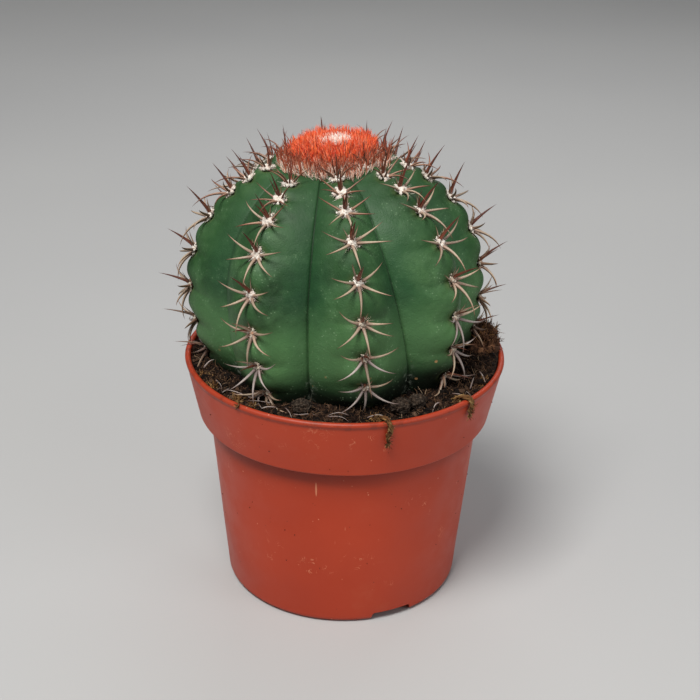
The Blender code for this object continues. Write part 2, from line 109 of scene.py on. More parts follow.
def smooth_mesh(points, faces):
    data = bpy.data.meshes.new("mesh")
    data.from_pydata(points, [], faces)
    data.shade_smooth()
    return data


def linked(name, data, place=Vector(), turn=0.0):
    thing = bpy.data.objects.new(name, data)
    bpy.context.scene.collection.objects.link(thing)
    thing.location, thing.rotation_euler.z = place, turn
    return thing


def finish_piece(name, data, material, slot, replaced=(), place=POT_FRAME):
    """Puts a finished mesh in the scene as a piece of the object."""
    piece = linked(name, data)
    data.name = name
    data.materials.clear()
    data.materials.append(material)
    piece.matrix_world = place
    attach(piece, "root")
    if replaced:
        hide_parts(*replaced)


def solid(make, **settings):
    """Corners and faces of a shape that bmesh makes."""
    bm = bmesh.new()
    make(bm, **settings)
    points = np.array([vert.co for vert in bm.verts])
    faces = [[vert.index for vert in face.verts] for face in bm.faces]
    bm.free()
    return points, faces


def ball(subdivisions):
    return solid(bmesh.ops.create_icosphere, subdivisions=subdivisions, radius=1.0)


def shell(top, rings, bottom):
    """A closed mesh: a top point, rings of points (rows, columns, 3), a bottom point."""
    rings = np.asarray(rings, float)
    here = 1 + np.arange(rings[..., 0].size).reshape(rings.shape[:2])
    ahead = np.roll(here, -1, 1)
    faces = np.stack([0 * here[0], here[0], ahead[0]], 1).tolist()
    faces += np.stack([here[:-1], here[1:], ahead[1:], ahead[:-1]], 2).reshape(-1, 4).tolist()
    faces += np.stack([here[-1], 0 * here[0] + here[-1, -1] + 1, ahead[-1]], 1).tolist()
    return smooth_mesh([tuple(top), *rings.reshape(-1, 3).tolist(), tuple(bottom)], faces)


def revolved(profile, steps, shape=lambda place: place):
    """A shell turned about Z from a profile whose ends lie on the axis."""
    turns = [(cos(TAU * k / steps), sin(TAU * k / steps)) for k in range(steps)]
    rings = [[shape(Vector((r * x, r * y, z))) for x, y in turns] for r, z in profile[1:-1]]
    return shell((0, 0, profile[0][1]), rings, (0, 0, profile[-1][1]))


class Strands:
    """A piece of closed tubes and lumps. Bands are one to a strand, or a range to draw from."""

    def __init__(self, seed):
        self.rng = np.random.default_rng(seed)
        self.points, self.faces, self.places = [], [], []

    def add(self, points, *blocks):
        """Adds copies of a shape: points (copies, span, 3); faces in a copy with U and V."""
        copies, span, _ = points.shape
        starts = len(self.points) + span * np.arange(copies)[:, None, None]
        self.points += points.reshape(-1, 3).tolist()
        for faces, u, v in blocks:
            corners = starts + faces
            self.faces += corners.reshape(-1, corners.shape[2]).tolist()
            self.places.append(np.stack(np.broadcast_arrays(u, v, corners)[:2], 3).ravel())

    def finish(self, name, material, slot, replaced=(), place=POT_FRAME):
        data = smooth_mesh(self.points, self.faces)
        layer = data.uv_layers.new(name="OFBake")
        layer.uv.foreach_set("vector", np.concatenate(self.places).astype(np.float32))
        finish_piece(name, data, material, slot, replaced, place)
        return data

    def tubes(self, paths, radii, bands, sides=3, facing=None):
        """Tapered tubes: paths (tubes, rings, 3) that end in a tip, radii (tubes, rings).

        V runs round each tube inside its band, from the side that faces the direction.
        """
        paths, radii = np.asarray(paths, float), np.asarray(radii, float)
        tubes, rings, _ = paths.shape
        if isinstance(bands, tuple):
            bands = self.rng.integers(*bands, tubes)
        normal = np.tile(FREE_NORMAL, (tubes, 1)) if facing is None else np.array(facing)
        step = np.arange(sides)
        turn = (TAU * step / sides)[:, None]
        lengths = np.linalg.norm(np.diff(paths, axis=1), axis=2).cumsum(1)
        reach = np.insert(lengths / lengths[:, -1:], 0, 0, axis=1)
        low = (np.asarray(bands)[:, None] + BAND_START + BAND_SHARE * step / sides) / BANDS
        high = low + BAND_SHARE / sides / BANDS
        cap = (step[None, ::-1], 0.03 * (step[::-1] % 2), low[:, None, ::-1])
        points, blocks = [], [cap]
        headings = unit(np.gradient(paths, axis=1))
        for ring in range(rings - 1):
            heading = headings[:, ring]
            normal = unit(normal - heading * (normal * heading).sum(1, keepdims=True))
            side = np.cross(heading, normal)[:, None]
            spoke = normal[:, None] * np.cos(turn) + side * np.sin(turn)
            points.append(paths[:, ring, None] + spoke * radii[:, ring, None, None])
            here, ahead = ring * sides + step, ring * sides + (step + 1) % sides
            if ring < rings - 2:
                face, v = [here, ahead, ahead + sides, here + sides], [low, high, high, low]
            else:
                face, v = [here, ahead, 0 * step + here[0] + sides], [low, high, (low + high) / 2]
            u = reach[:, [ring, ring, ring + 1, ring + 1][: len(face)]]
            blocks.append((np.stack(face, 1), u[:, None], np.stack(v, 2)))
        self.add(np.concatenate([*points, paths[:, -1:]], 1), *blocks)

    def threads(self, sprouts, lengths, widths, taper, bands, wander, floor=None, sides=4):
        """Threads that wander from their starts; those on the soil's surface stay inside the pot.

        Sprouts yields starts and headings; lengths and widths are ranges in millimetres.
        """
        rng, lying = self.rng, floor is surface
        paths, radii, chosen = [], [], []
        for place, heading in sprouts:
            step = rng.uniform(*lengths) * MM / (len(taper) - 1)
            bend = rng.normal(scale=wander, size=3)
            path = [np.array(place)]
            for _ in taper[1:]:
                heading = unit(heading + bend + rng.normal(scale=wander * 0.7, size=3))
                place = path[-1] + heading * step
                if floor:
                    place[2] = max(place[2], floor(place[0], place[1]) + 0.0001)
                path.append(place)
            if not lying or max(hypot(x, y) for x, y, _ in path) < SOIL_EDGE - 0.0002:
                width = rng.uniform(*widths) if widths else 1.0
                paths.append(path)
                radii.append(width * MM * np.array(taper))
                if lying:
                    chosen.append(rng.integers(*bands))
        self.tubes(paths, radii, chosen or bands, sides)

    def lumps(self, places, sizes, bands, roughness=0.24, subdivisions=1):
        """Rough lumps turned at random; sizes are half sizes, or their range in millimetres."""
        points, faces = ball(subdivisions)
        lumps = len(places)
        if isinstance(sizes, tuple):
            sizes = self.rng.uniform(*sizes, (lumps, 3)) * MM
        bands = self.rng.integers(*bands, (lumps, 1, 1))
        rough = 1 + roughness * self.rng.normal(size=(lumps, len(points), 1)).clip(-2, 2)
        shape = points * rough * sizes[:, None]
        turn = unit(self.rng.normal(size=(lumps, 1, 4)))
        side = np.cross(turn[:, :, 1:], shape)
        shape += 2 * (turn[:, :, :1] * side + np.cross(turn[:, :, 1:], side))
        u, v = 0.5 + 0.46 * points[faces, 0], 0.5 + 0.40 * points[faces, 2]
        self.add(shape + np.array(places)[:, None], (faces, u, (bands + v) / BANDS))


# Material helpers


def srgb(colour):
    """A colour written as on a display, rrggbb, as linear light."""
    return tuple((int(colour[k : k + 2], 16) / 255) ** 2.2 for k in (0, 2, 4))


class Shader:
    """A procedural material; colour holds what has been painted so far."""

    def __init__(self, name, specular, **fixed):
        self.material = bpy.data.materials.new(name)
        self.material.use_nodes = True
        self.tree = self.material.node_tree
        self.surface = self.tree.nodes["Principled BSDF"]
        self.feed(self.surface, Specular_IOR_Level=specular, **fixed)
        self.place = self.node("TexCoord").node.outputs["Object"]

    def feed(self, node, *values, **named):
        """Feeds inputs in order, leaving out None, or by name with _ for a space."""
        named = {key.replace("_", " "): value for key, value in named.items()}
        for key, value in [*enumerate(values), *named.items()]:
            if isinstance(value, bpy.types.NodeSocket):
                self.tree.links.new(value, node.inputs[key])
            elif value is not None:
                value = (*srgb(value), 1.0) if isinstance(value, str) else value
                node.inputs[key].default_value = value

    def node(self, kind, *values, **settings):
        """The first output of a new node."""
        node = self.tree.nodes.new("ShaderNode" + kind)
        for key, value in settings.items():
            setattr(node, key, value)
        self.feed(node, *values)
        return node.outputs[0]

    @property
    def height(self):
        return self.node("SeparateXYZ", self.place).node.outputs[2]

    def strands(self):
        """Reads the UV map of strands: share of the length, place round, a number of its own."""
        self.uv = self.node("UVMap", uv_map="OFBake")
        self.along, across, _ = self.node("SeparateXYZ", self.uv).node.outputs
        across = self.mul(across, float(BANDS))
        self.across, self.band = self.math("FRACT", across), self.math("FLOOR", across)
        self.chance = self.node("TexWhiteNoise", None, self.band, noise_dimensions="1D")

    def attribute(self, name):
        return self.node("Attribute", attribute_name=name).node.outputs["Fac"]

    def stretched(self, scale):
        return self.node("Mapping", self.place, None, None, scale)

    def noise(self, scale, detail=3.0, roughness=0.55, vector=None, distortion=0.0):
        fac = self.node("TexNoise", vector or self.place, None, scale, detail, roughness)
        self.feed(fac.node, Distortion=distortion)
        return fac

    def cells(self, scale, vector=None):
        return self.node("TexVoronoi", vector or self.place, None, scale)

    def math(self, operation, *values):
        return self.node("Math", *values, operation=operation)

    def mul(self, first, *others):
        for other in others:
            first = self.math("MULTIPLY", first, other)
        return first

    def between(self, value, low, high, to_low=0.0, to_high=1.0):
        """A smooth step from one range to another."""
        values = value, low, high, to_low, to_high
        return self.node("MapRange", *values, interpolation_type="SMOOTHSTEP")

    def spot(self, azimuth, level, wide, high):
        """1 inside an oval on the pot's wall, falling to 0 at its edge."""
        centre = tuple(around(azimuth, wall_radius(level), level))
        turn, sizes = (0.0, 0.0, radians(azimuth)), (wide, 0.004, high)
        inside = self.node("Mapping", self.place, centre, turn, sizes, vector_type="TEXTURE")
        away = self.node("VectorMath", inside, operation="LENGTH").node.outputs["Value"]
        return self.between(away, 0.6, 1.0, 1.0, 0.0)

    def ramp(self, value, stops):
        """A colour ramp; the stops are written "place colour, place colour"."""
        colour = self.node("ValToRGB", value)
        elements = colour.node.color_ramp.elements
        stops = [stop.split() for stop in stops.split(",")]
        while len(elements) < len(stops):
            elements.new(0.5)
        for element, (at, shade) in zip(elements, stops):
            element.position, element.color = float(at), (*srgb(shade), 1.0)
        return colour

    def paint(self, share, colour, blend="MIX"):
        mixed = self.node("Mix", share, data_type="RGBA", blend_type=blend, clamp_factor=True)
        for key, value in ((6, self.colour), (7, colour)):
            self.feed(mixed.node, *[None] * key, value)
        self.colour = mixed.node.outputs[2]

    def tint(self, colour, *values):
        """Paints a colour where a value lies between two others."""
        self.paint(self.between(*values), colour)

    def flecks(self, colour, cells, small, large, patches, low, high, amount):
        """Paints small cells, in the patches of a noise."""
        inside = self.between(cells, small, large, 1, 0)
        self.paint(self.mul(inside, self.between(patches, low, high), amount), colour)

    def from_band(self, start, colour):
        """Gives the strands from one band on a colour of their own."""
        self.paint(self.math("GREATER_THAN", self.band, start - 0.5), colour)

    def done(self, roughness, relief, strength, distance):
        normal = self.node("Bump")
        self.feed(normal.node, Height=relief, Strength=strength, Distance=distance)
        self.feed(self.surface, Base_Color=self.colour, Roughness=roughness, Normal=normal)
        return self.material


# Shapes shared with the frame


def around(azimuth, radius, height=0.0):
    """A point at an azimuth in degrees from the front, towards +X."""
    angle = radians(azimuth)
    return Vector((radius * sin(angle), -radius * cos(angle), height))


def soil_height(x, y):
    """The soil's surface without its grains."""
    mound = around(MOUND_AZIMUTH, MOUND_FROM_AXIS)
    away = hypot(x - mound.x, y - mound.y) / MOUND_SPREAD
    lumps = noise(Vector((x, y, 0.0)) * 160.0)
    return SOIL_LEVEL + MOUND_RISE * exp(-away * away / 2) + SOIL_LUMPS * lumps


def row_latitudes(phase):
    """Latitudes in degrees of a rib's areoles, from the crown down."""
    gaps = -np.diff(AREOLE_LATITUDES)
    gaps = np.append(gaps, gaps[-1]) if phase > 0 else np.append(gaps[0], gaps)
    return (AREOLE_LATITUDES - phase * gaps).tolist()


ROWS = [row_latitudes(phase) for phase in ROW_PHASES]


def rib_azimuth(position):
    """Azimuth in radians; position counts the ribs and is whole on each crest."""
    rib = int(position // 1)
    here = RIB_AZIMUTHS[rib % RIB_COUNT]
    after = RIB_AZIMUTHS[(rib + 1) % RIB_COUNT]
    return radians(here + (after - here) % 360 * (position - rib))


def furrow_bend(position, latitude):
    """How far a furrow strays sideways, in radians; latitude in degrees."""
    gap = int(position // 1) % RIB_COUNT
    stray = 1.3 * noise(Vector((gap * 3.7, latitude / 34, 0.5)))
    if gap in FURROW_BENDS:
        near = [latitude + step for step in (-9, -3, 3, 9)]
        bend = np.interp(near, *zip(*sorted(FURROW_BENDS[gap]))).mean()
        stray = 0.3 * stray + float(bend)
    return radians(stray)


def crenation(rib, latitude):
    """How far a crest swells between two areoles; 0 at each areole."""
    for above, below in zip(ROWS[rib], ROWS[rib][1:]):
        if below <= latitude <= above:
            across = (above - latitude) / (above - below)
            return CRENATION * sin(pi * across) ** 1.2
    return 0.0


def stem_point(position, latitude):
    """A point of the ribbed skin, from the stem's centre; latitude in radians."""
    upper = latitude > 0
    power = 2 / (TOP_POWER if upper else BOTTOM_POWER)
    half_height = STEM_TOP if upper else STEM_BOTTOM
    radius = STEM_RADIUS * max(cos(latitude), 0.0) ** power
    height = copysign(half_height * abs(sin(latitude)) ** power, latitude)
    rib = round(position)
    from_crest = 2 * abs(position - rib)
    fade = 1.0 - 0.7 * max(-latitude / (pi / 2), 0.0)
    radius *= 1.0 - FURROW_DEPTH * fade * from_crest**FURROW_POWER
    swell = crenation(rib % RIB_COUNT, degrees(latitude)) * (1.0 - from_crest) ** 2
    radius += swell * cos(latitude)
    height += swell * sin(latitude)
    if latitude < TAPROOT_FROM:
        down = (TAPROOT_FROM - latitude) / (TAPROOT_FROM + pi / 2)
        height -= TAPROOT_LENGTH * down**1.4
    azimuth = rib_azimuth(position)
    if from_crest > 0.1:
        azimuth += from_crest**2 * furrow_bend(position, degrees(latitude))
    return Vector((radius * sin(azimuth), -radius * cos(azimuth), height))


def areole_places():
    """(rib, index, frame) of the areoles above the soil; a frame has Z out, Y up the rib."""
    places, step = [], radians(2)
    for rib, row in enumerate(ROWS):
        for index, latitude in enumerate(map(radians, row)):
            up = stem_point(rib, latitude + step) - stem_point(rib, latitude - step)
            side = stem_point(rib + 0.05, latitude) - stem_point(rib - 0.05, latitude)
            up.normalize()
            out = side.cross(up).normalized()
            turn = Matrix((up.cross(out), up, out)).transposed().to_4x4()
            turn.translation = stem_point(rib, latitude)
            turn = STEM_IN_POT @ turn
            spot = turn.translation
            if spot.z > soil_height(spot.x, spot.y) + 0.0006:
                places.append((rib, index, turn))
    return places


def outside_stem(place, margin):
    """True if a place, in the pot's frame, is clear of the skin by a margin."""
    nearest, normal, _, distance = SKIN_TREE.find_nearest(place)
    return distance > margin and (place - nearest).dot(normal) > 0


# Skin

RIB_COLUMNS = 40
CROWDING = 0.35  # how much closer the columns stand at the furrows
ROW_SPANS = ((90, 76, 8), (76, -46, 204), (-46, -90, 26))
CREASE_DEPTH, CREASE_WIDTH = 0.0008, 0.012
DIMPLE_DEPTH, DIMPLE_RADIUS = 0.0007, 0.0026


def skin_mesh():
    """The ribbed stem with its creases, dimples and taproot, as one closed mesh."""
    latitudes = np.concatenate([np.linspace(*span, endpoint=False) for span in ROW_SPANS])[1:]
    across = np.linspace(-1, 1, RIB_COLUMNS, endpoint=False)
    share = (1 + CROWDING) * across - CROWDING * across**3
    positions = np.concatenate([rib + share / 2 for rib in range(RIB_COUNT)])
    areoles = [stem_point(rib, radians(lat)) for rib, row in enumerate(ROWS) for lat in row]
    areoles = np.array(areoles)
    points, furrow, near = [], [], []
    for latitude in latitudes:
        for position in positions:
            point = stem_point(position, radians(latitude))
            from_crest = 2 * abs(position - round(position))
            depth = CREASE_DEPTH * exp(-((1 - from_crest) / CREASE_WIDTH) ** 1.3)
            depth += 0.00022 * noise(point * 110) + 0.00009 * noise(point * 380)
            away = np.linalg.norm(areoles - np.array(point), axis=1).min()
            depth += DIMPLE_DEPTH * exp(-((away / DIMPLE_RADIUS) ** 2))
            out = Vector((point.x, point.y, point.z * 0.6)).normalized()
            points.append(point - out * depth)
            furrow.append(from_crest)
            near.append(away)
    rings = np.array(points).reshape(len(latitudes), len(positions), 3)
    data = shell((0, 0, STEM_TOP), rings, stem_point(0, -pi / 2))
    for name, values in (("furrow", [0, *furrow, 0]), ("near_areole", [1, *near, 1])):
        attribute = data.attributes.new(name, "FLOAT", "POINT")
        attribute.data.foreach_set("value", np.array(values, np.float32))
    return data


def skin_material():
    s = Shader("cactus_skin", 0.34, Coat_Weight=0.04, Coat_Roughness=0.5)
    furrow, near, height = s.attribute("furrow"), s.attribute("near_areole"), s.height
    mottle, fine = s.noise(150, 5, 0.6), s.noise(850, 4, 0.65)
    streaks = s.noise(1.0, 4, 0.6, s.stretched((170, 170, 34)))
    s.colour = s.ramp(s.noise(42, 4, 0.6), "0.37 163016, 0.53 284c26, 0.70 486a40")
    s.tint("204424", streaks, 0.40, 0.72, 0, 0.40)
    s.tint("567a52", mottle, 0.45, 0.75, 0, 0.42)
    s.tint("264828", fine, 0.35, 0.65, 0, 0.30)
    # painted shade: the flanks of the ribs are darker and bluer towards the furrows, the top is
    # darker, and the foot is painted nearly black where the soil shades it
    s.tint("224c34", furrow, 0.35, 0.9, 0, 0.30)
    s.tint("091607", height, -0.027, -0.011, 0.97, 0)
    s.tint("264424", height, 0.004, 0.036, 0, 0.50)
    # painted light: a paler band low on the stem, where the light from the front falls
    low, high = s.between(height, -0.024, -0.014), s.between(height, -0.008, 0.010, 1, 0)
    s.paint(s.mul(low, high, 0.40), "628e58")
    # small pale stomata, in loose groups, more of them low down
    amount = s.between(height, -0.03, 0.03, 0.46, 0.18)
    s.flecks("9cba92", s.cells(900), 0.10, 0.28, s.noise(150, 3, 0.6), 0.47, 0.66, amount)
    # painted shade: a broken dark line along the bottom of each furrow, fainter low down
    crease = s.between(furrow, 0.978, 0.998)
    faint = s.between(s.noise(240, 3), 0.25, 0.6, 0.35, 0.85)
    s.paint(s.mul(crease, faint, s.between(height, -0.014, 0.012, 0.3, 1)), "10200e")
    # corky scars and a dusting of dried lime near the soil
    scars = s.between(s.cells(180), 0.075, 0.115, 1, 0)
    scars = s.mul(scars, s.between(height, -0.019, -0.014, 1, 0), s.between(mottle, 0.40, 0.46))
    s.paint(s.mul(scars, 0.85), "b08458")
    dust = s.mul(s.between(furrow, 0.80, 0.98), s.between(height, -0.024, -0.016, 1, 0))
    s.paint(s.mul(dust, s.between(s.noise(520, 5, 0.75), 0.50, 0.62, 0, 0.5)), "b0baa8")
    s.tint("56643e", near, 0.0018, 0.0042, 0.5, 0)
    pores = s.mul(s.between(s.cells(1500), 0.0, 0.5), 0.4)
    relief = s.math("ADD", s.math("ADD", fine, s.mul(mottle, 0.9)), pores)
    return s.done(s.between(s.noise(60, 3), 0.3, 0.7, 0.56, 0.70), relief, 0.32, 0.0004)


# Spines and wool

# bearing at the root and at the tip (from "up the rib"), rise off the skin at the root and at
# the tip, length and root radius in millimetres
RADIALS = (
    (22, 8, 52, 30, 6.0, 0.34),
    (-22, -8, 52, 30, 6.0, 0.34),
    (80, 56, 42, 6, 10.8, 0.56),
    (-80, -56, 42, 6, 10.8, 0.56),
    (128, 102, 52, -6, 11.4, 0.57),
    (-128, -102, 52, -6, 11.4, 0.57),
    (180, 180, 54, -14, 12.8, 0.60),
)
CENTRAL = (3, 3, 68, 80, 12.6, 0.68)
SECOND_CENTRAL = (-26, -14, 62, 76, 10.2, 0.46)
# for each areole from the crown down: size of the spines, lean towards upright, width of the wool
ROW_SIZES = (0.80, 0.86, 0.93, 1.00, 1.02, 1.00, 0.98, 0.98, 0.98)
ROW_LEANS = (16, 10, 4, 0, 0, 0, 0, 0, 0)
WOOL_WIDTHS = (2.6, 2.75, 2.7, 2.5, 2.35, 2.1, 1.9, 1.75, 1.6)
CUSHION_LUMPS, WOOL_HAIRS = 13, 58  # at each areole
SPINE_RINGS, SPINE_SIDES, HAIR_RINGS = 9, 7, 5
SPINE_SHARE = np.linspace(0, 1, SPINE_RINGS)
SPINE_MIDDLE = (SPINE_SHARE[1:] + SPINE_SHARE[:-1]) / 2


def spine_line(rng, shape, size, lean_out):
    """Points of one spine in its areole's frame, and its radii, in metres."""
    bearing, bearing_tip, rise, rise_tip, length, radius = shape
    turn, lean, longer, curl = rng.normal(size=4)
    bearing, bearing_tip = bearing + 6 * turn, bearing_tip + 6 * turn + 8 * curl
    rise, rise_tip = rise + lean_out + 5 * lean, rise_tip + lean_out + 8 * lean
    length *= size * (1 + 0.06 * longer) * MM
    side = np.radians(bearing + (bearing_tip - bearing) * SPINE_MIDDLE)
    tilt = np.radians(rise + (rise_tip - rise) * SPINE_MIDDLE)
    moves = polar(side, np.cos(tilt), np.sin(tilt)) * length / (SPINE_RINGS - 1)
    root = polar(np.radians([bearing]), 1, 0) * 0.7 * MM
    taper = (1 - SPINE_SHARE**1.35) * (0.97 + 0.14 * np.exp(-SPINE_SHARE * 14))
    points = np.concatenate([root, root + moves.cumsum(0)])
    return points, radius * min(size * size, 1.0) * MM * taper


def lifted(points, clearance):
    """Keeps a spine above the soil, so that it lies along it; points in the pot's frame."""
    for point in points:
        over_rim = hypot(point[0], point[1]) > RIM_RADIUS - LIP_HEIGHT
        ground = POT_HEIGHT if over_rim else soil_height(point[0], point[1])
        point[2] = max(point[2], ground + clearance)
    return points


def to_frame(matrix, points):
    return points @ np.array(matrix.to_3x3()).T + np.array(matrix.translation)


def spine_bands(rng, central, index):
    """Bands 0-23 are grown bone spines, 24-39 young red ones, 40-55 dark centrals, 56-63 old."""
    span = (0, 24)
    if central:
        if not (index >= 4 and rng.random() < 0.35):
            span = (40, 56)
    elif index >= 6 and rng.random() < 0.5:
        span = (56, 64)
    elif index <= 1 or (index == 2 and rng.random() < 0.4):
        span = (24, 40)
    return rng.integers(*span)


def build_spines(material):
    rng = np.random.default_rng(11)
    for rib in range(RIB_COUNT):
        row = Strands(rng)
        paths, radii, bands, facing = [], [], [], []
        for _, index, turn in [place for place in AREOLES if place[0] == rib]:
            centrals = [CENTRAL]
            if index <= 1 or rng.random() < 0.35:
                centrals.append(SECOND_CENTRAL)
            for number, shape in enumerate([*RADIALS, *centrals]):
                central = number >= len(RADIALS)
                low = max(index - 3, 0) if central else 0
                size = ROW_SIZES[index] * (1 - 0.04 * low)
                points, widths = spine_line(rng, shape, size, ROW_LEANS[index] - 4 * low)
                paths.append(lifted(to_frame(turn, points), 0.0004))
                radii.append(widths)
                bands.append(spine_bands(rng, central, index))
                facing.append(turn.to_3x3() @ Vector((0, 0.3, 1)))
        row.tubes(paths, radii, bands, SPINE_SIDES, facing)
        nodes = [f"spines_rib{rib + 1}_{place}" for place in range(1, 7)]
        row.finish(f"spine_row_{rib + 1}", material, "spines", nodes)


def spine_material():
    s = Shader("spines", 0.4)
    s.strands()
    bone = "0 9c7868, 0.12 b89682, 0.45 ceb498, 0.74 bc9a7e, 0.9 805442, 1 3c221e"
    young = "0 b0826c, 0.3 c0947a, 0.62 a87058, 0.85 7a3e30, 1 4a201c"
    s.colour = s.ramp(s.along, bone)
    s.from_band(24, s.ramp(s.along, young))
    s.from_band(40, s.ramp(s.along, "0 96543e, 0.25 964e3a, 0.6 7c3c30, 1 3e1c1a"))
    s.from_band(56, s.ramp(s.along, "0 9c827a, 0.5 cebcb2, 1 806258"))
    # the edges and the underside are redder than the pale back: the red edges are the spines' own
    # colour, the darker underside, towards the stem, is painted shade
    turn = s.mul(s.math("SUBTRACT", s.across, BAND_START), TAU / BAND_SHARE)
    s.tint("5e3624", s.math("COSINE", turn), -0.2, 0.75, 0.75, 0)
    s.paint(1.0, s.ramp(s.chance, "0 aeb1b3, 0.5 cad0d3, 1 dee5e8"), "MULTIPLY")
    grain = s.noise(7.0, 3, 0.6, s.uv)
    s.tint("844e3c", grain, 0.45, 0.75, 0, 0.25)
    return s.done(s.between(grain, 0.3, 0.7, 0.40, 0.58), s.noise(2600, 2), 0.25, 0.0001)


def build_wool(material):
    """At each areole a woolly cushion, webs of wool along the spines' roots, and loose hairs."""
    wool = Strands(23)
    rng = wool.rng
    paths, radii, bands = [], [], []
    arms = np.radians([shape[0] for shape in RADIALS])
    cushion, webs, hairs = CUSHION_LUMPS, 3 * len(arms), WOOL_HAIRS
    steps = np.linspace(0, 1, HAIR_RINGS)[:, None]
    for _, index, turn in AREOLES:
        width = WOOL_WIDTHS[index] * MM
        numbers = (40, 64) if index >= 5 else (0, 24)
        angle = rng.uniform(0, TAU, cushion)
        reach = width * 0.5 * np.sqrt(rng.uniform(0, 1, cushion))
        places = polar(angle, reach, (0.25 + 0.55 * (1 - (reach / width) ** 2)) * MM)
        sizes = rng.uniform(0.26, 0.46, (cushion, 3)) * width * (0.8, 0.8, 0.65)
        wool.lumps(to_frame(turn, places), sizes, numbers, 0.20)
        angle = np.repeat(arms, 3) + rng.normal(scale=0.13, size=webs)
        step = np.tile((0.50, 0.72, 0.92), len(arms)) * rng.uniform(0.85, 1.12, webs)
        places = polar(angle, step, 0.16 + 0.10 * step) * width
        sizes = np.tile((0.30, 0.23, 0.15), len(arms))[:, None] * rng.uniform(0.75, 1.2, (webs, 3))
        wool.lumps(to_frame(turn, places), sizes * width, numbers, 0.20)
        angle = rng.uniform(0, TAU, hairs)
        reach = width * rng.uniform(0.15, 0.85, hairs)
        root = polar(angle, reach, rng.uniform(0.2, 0.6, hairs) * MM * (1 - 0.6 * reach / width))
        out = unit(polar(angle, 1, rng.uniform(0.0, 1.2, hairs)))
        bend = rng.normal(scale=0.6, size=(hairs, 3))
        length = width * rng.uniform(0.30, 0.85, (hairs, 1, 1))
        path = root[:, None] + length * (out[:, None] * steps + bend[:, None] * steps**2 * 0.5)
        path[:, :, 2] = np.maximum(path[:, :, 2], 0.10 * MM)
        paths.extend(to_frame(turn, path))
        radii.extend(hair_radii(rng, hairs, 0.05, 0.09, (1, 0.95, 0.8, 0.55, 0)))
        bands.extend(rng.integers(*numbers, hairs))
    wool.tubes(paths, radii, bands)
    wool.finish("areole_wool", material, "spines")


def wool_material():
    """Bands from 40 on are the older, browner wool."""
    s = Shader("areole_wool", 0.15, Sheen_Weight=0.3, Sheen_Roughness=0.6)
    s.strands()
    s.colour = s.ramp(s.chance, "0 b8a89c, 0.5 d2cbc0, 1 e4e0d7")
    s.from_band(40, s.ramp(s.chance, "0 a05c30, 0.16 9e907e, 1 c8c2b2"))
    s.tint("ceac96", s.across, 0.2, 0.9, 0.25, 0)
    return s.done(s.between(s.along, 0, 1, 0.85, 0.95), s.noise(3000, 2), 0.5, 0.0002)


# Crown

CAP_RADIUS, CAP_HEIGHT, CAP_POWER = 0.0124, 0.0060, 2.7
CAP_DIP, CAP_DIP_RADIUS = 0.0010, 0.0048
CAP_BASE = STEM_TOP - 0.0016
CAP_BRISTLES, PINK_BRISTLES, YOUNG_SPINES, WHITE_HAIRS, CREAM_HAIRS = 2800, 560, 340, 540, 2600
CAP_MIDDLE = np.array((0.0024, 0.0))  # the cap's axis, from the stem's
WHITE_MIDDLE = CAP_MIDDLE + (0.0010, -0.0012)  # where the white wool shows


def cap_core():
    """The woolly dome that the bristles stand in."""
    points, faces = solid(bmesh.ops.create_uvsphere, u_segments=80, v_segments=48, radius=1.0)
    for point in points:
        flat = hypot(point[0], point[1])
        reach = CAP_RADIUS * 0.99 * flat ** (2 / CAP_POWER)
        rough = 1 + 0.035 * noise(point * 9) + 0.03 * noise(point * 23)
        top = cap_height(reach) if point[2] > 0 else -0.004 * abs(point[2])
        point[:2] = point[:2] * reach / max(flat, 1e-6) * rough + (CAP_MIDDLE[0], 0)
        point[2] = CAP_BASE + top * rough
    return smooth_mesh(points, faces)


def cap_dip(reach):
    return CAP_DIP * np.exp(-((reach / CAP_DIP_RADIUS) ** 2))


def cap_height(reach):
    share = np.minimum(reach / CAP_RADIUS, 1.0)
    return CAP_HEIGHT * (1 - share**CAP_POWER) ** (1 / CAP_POWER) - cap_dip(reach)


def cap_places(rng, count):
    """Random places, even over the cap: distance from its axis, height, slope in degrees."""
    turn = np.radians(np.linspace(0.5, 89.5, 90))
    reach = CAP_RADIUS * np.sin(turn) ** (2 / CAP_POWER)
    height = CAP_HEIGHT * np.cos(turn) ** (2 / CAP_POWER) - cap_dip(reach)
    out, down = np.gradient(reach), -np.gradient(height)
    area = np.cumsum(reach * np.hypot(out, down))
    steps = np.arange(len(turn))
    at = np.interp(rng.random(count), area / area[-1], steps)
    return [np.interp(at, steps, v) for v in (reach, height, np.degrees(np.arctan2(down, out)))]


def shoulder(rng, count, low, high):
    """Angles, distances and heights of spots on the skin round the cap, in cap radii."""
    found = []
    while len(found) < count:
        spot = stem_point(rng.uniform(0, RIB_COUNT), radians(rng.uniform(62, 80)))
        x = spot.x - CAP_MIDDLE[0]
        reach = hypot(x, spot.y)
        if low < reach / CAP_RADIUS < high:
            found.append((np.arctan2(x, -spot.y), reach, spot.z - 0.0003))
    return np.array(found).T


def leaning_hairs(rng, spots, tilt, length, curve, middle=CAP_MIDDLE):
    """Hairs that lean out from an axis by a tilt from upright and curve back up."""
    angle, reach, height = spots
    share = (np.arange(HAIR_RINGS - 1) + 0.5) / (HAIR_RINGS - 1)
    lean = np.radians(tilt[:, None] - curve[:, None] * share)[:, :, None]
    sideways = rng.normal(scale=0.16, size=(len(angle), 1, 3))
    out = polar(pi - angle, 1, 0)[:, None]
    moves = unit(out * np.sin(lean) + (0, 0, 1) * np.cos(lean) + sideways * (0.4 + share[:, None]))
    moves *= (length / (HAIR_RINGS - 1))[:, None, None]
    root = (polar(pi - angle, reach, height) + (*middle, 0))[:, None]
    return np.concatenate([root, root + moves.cumsum(1)], 1)


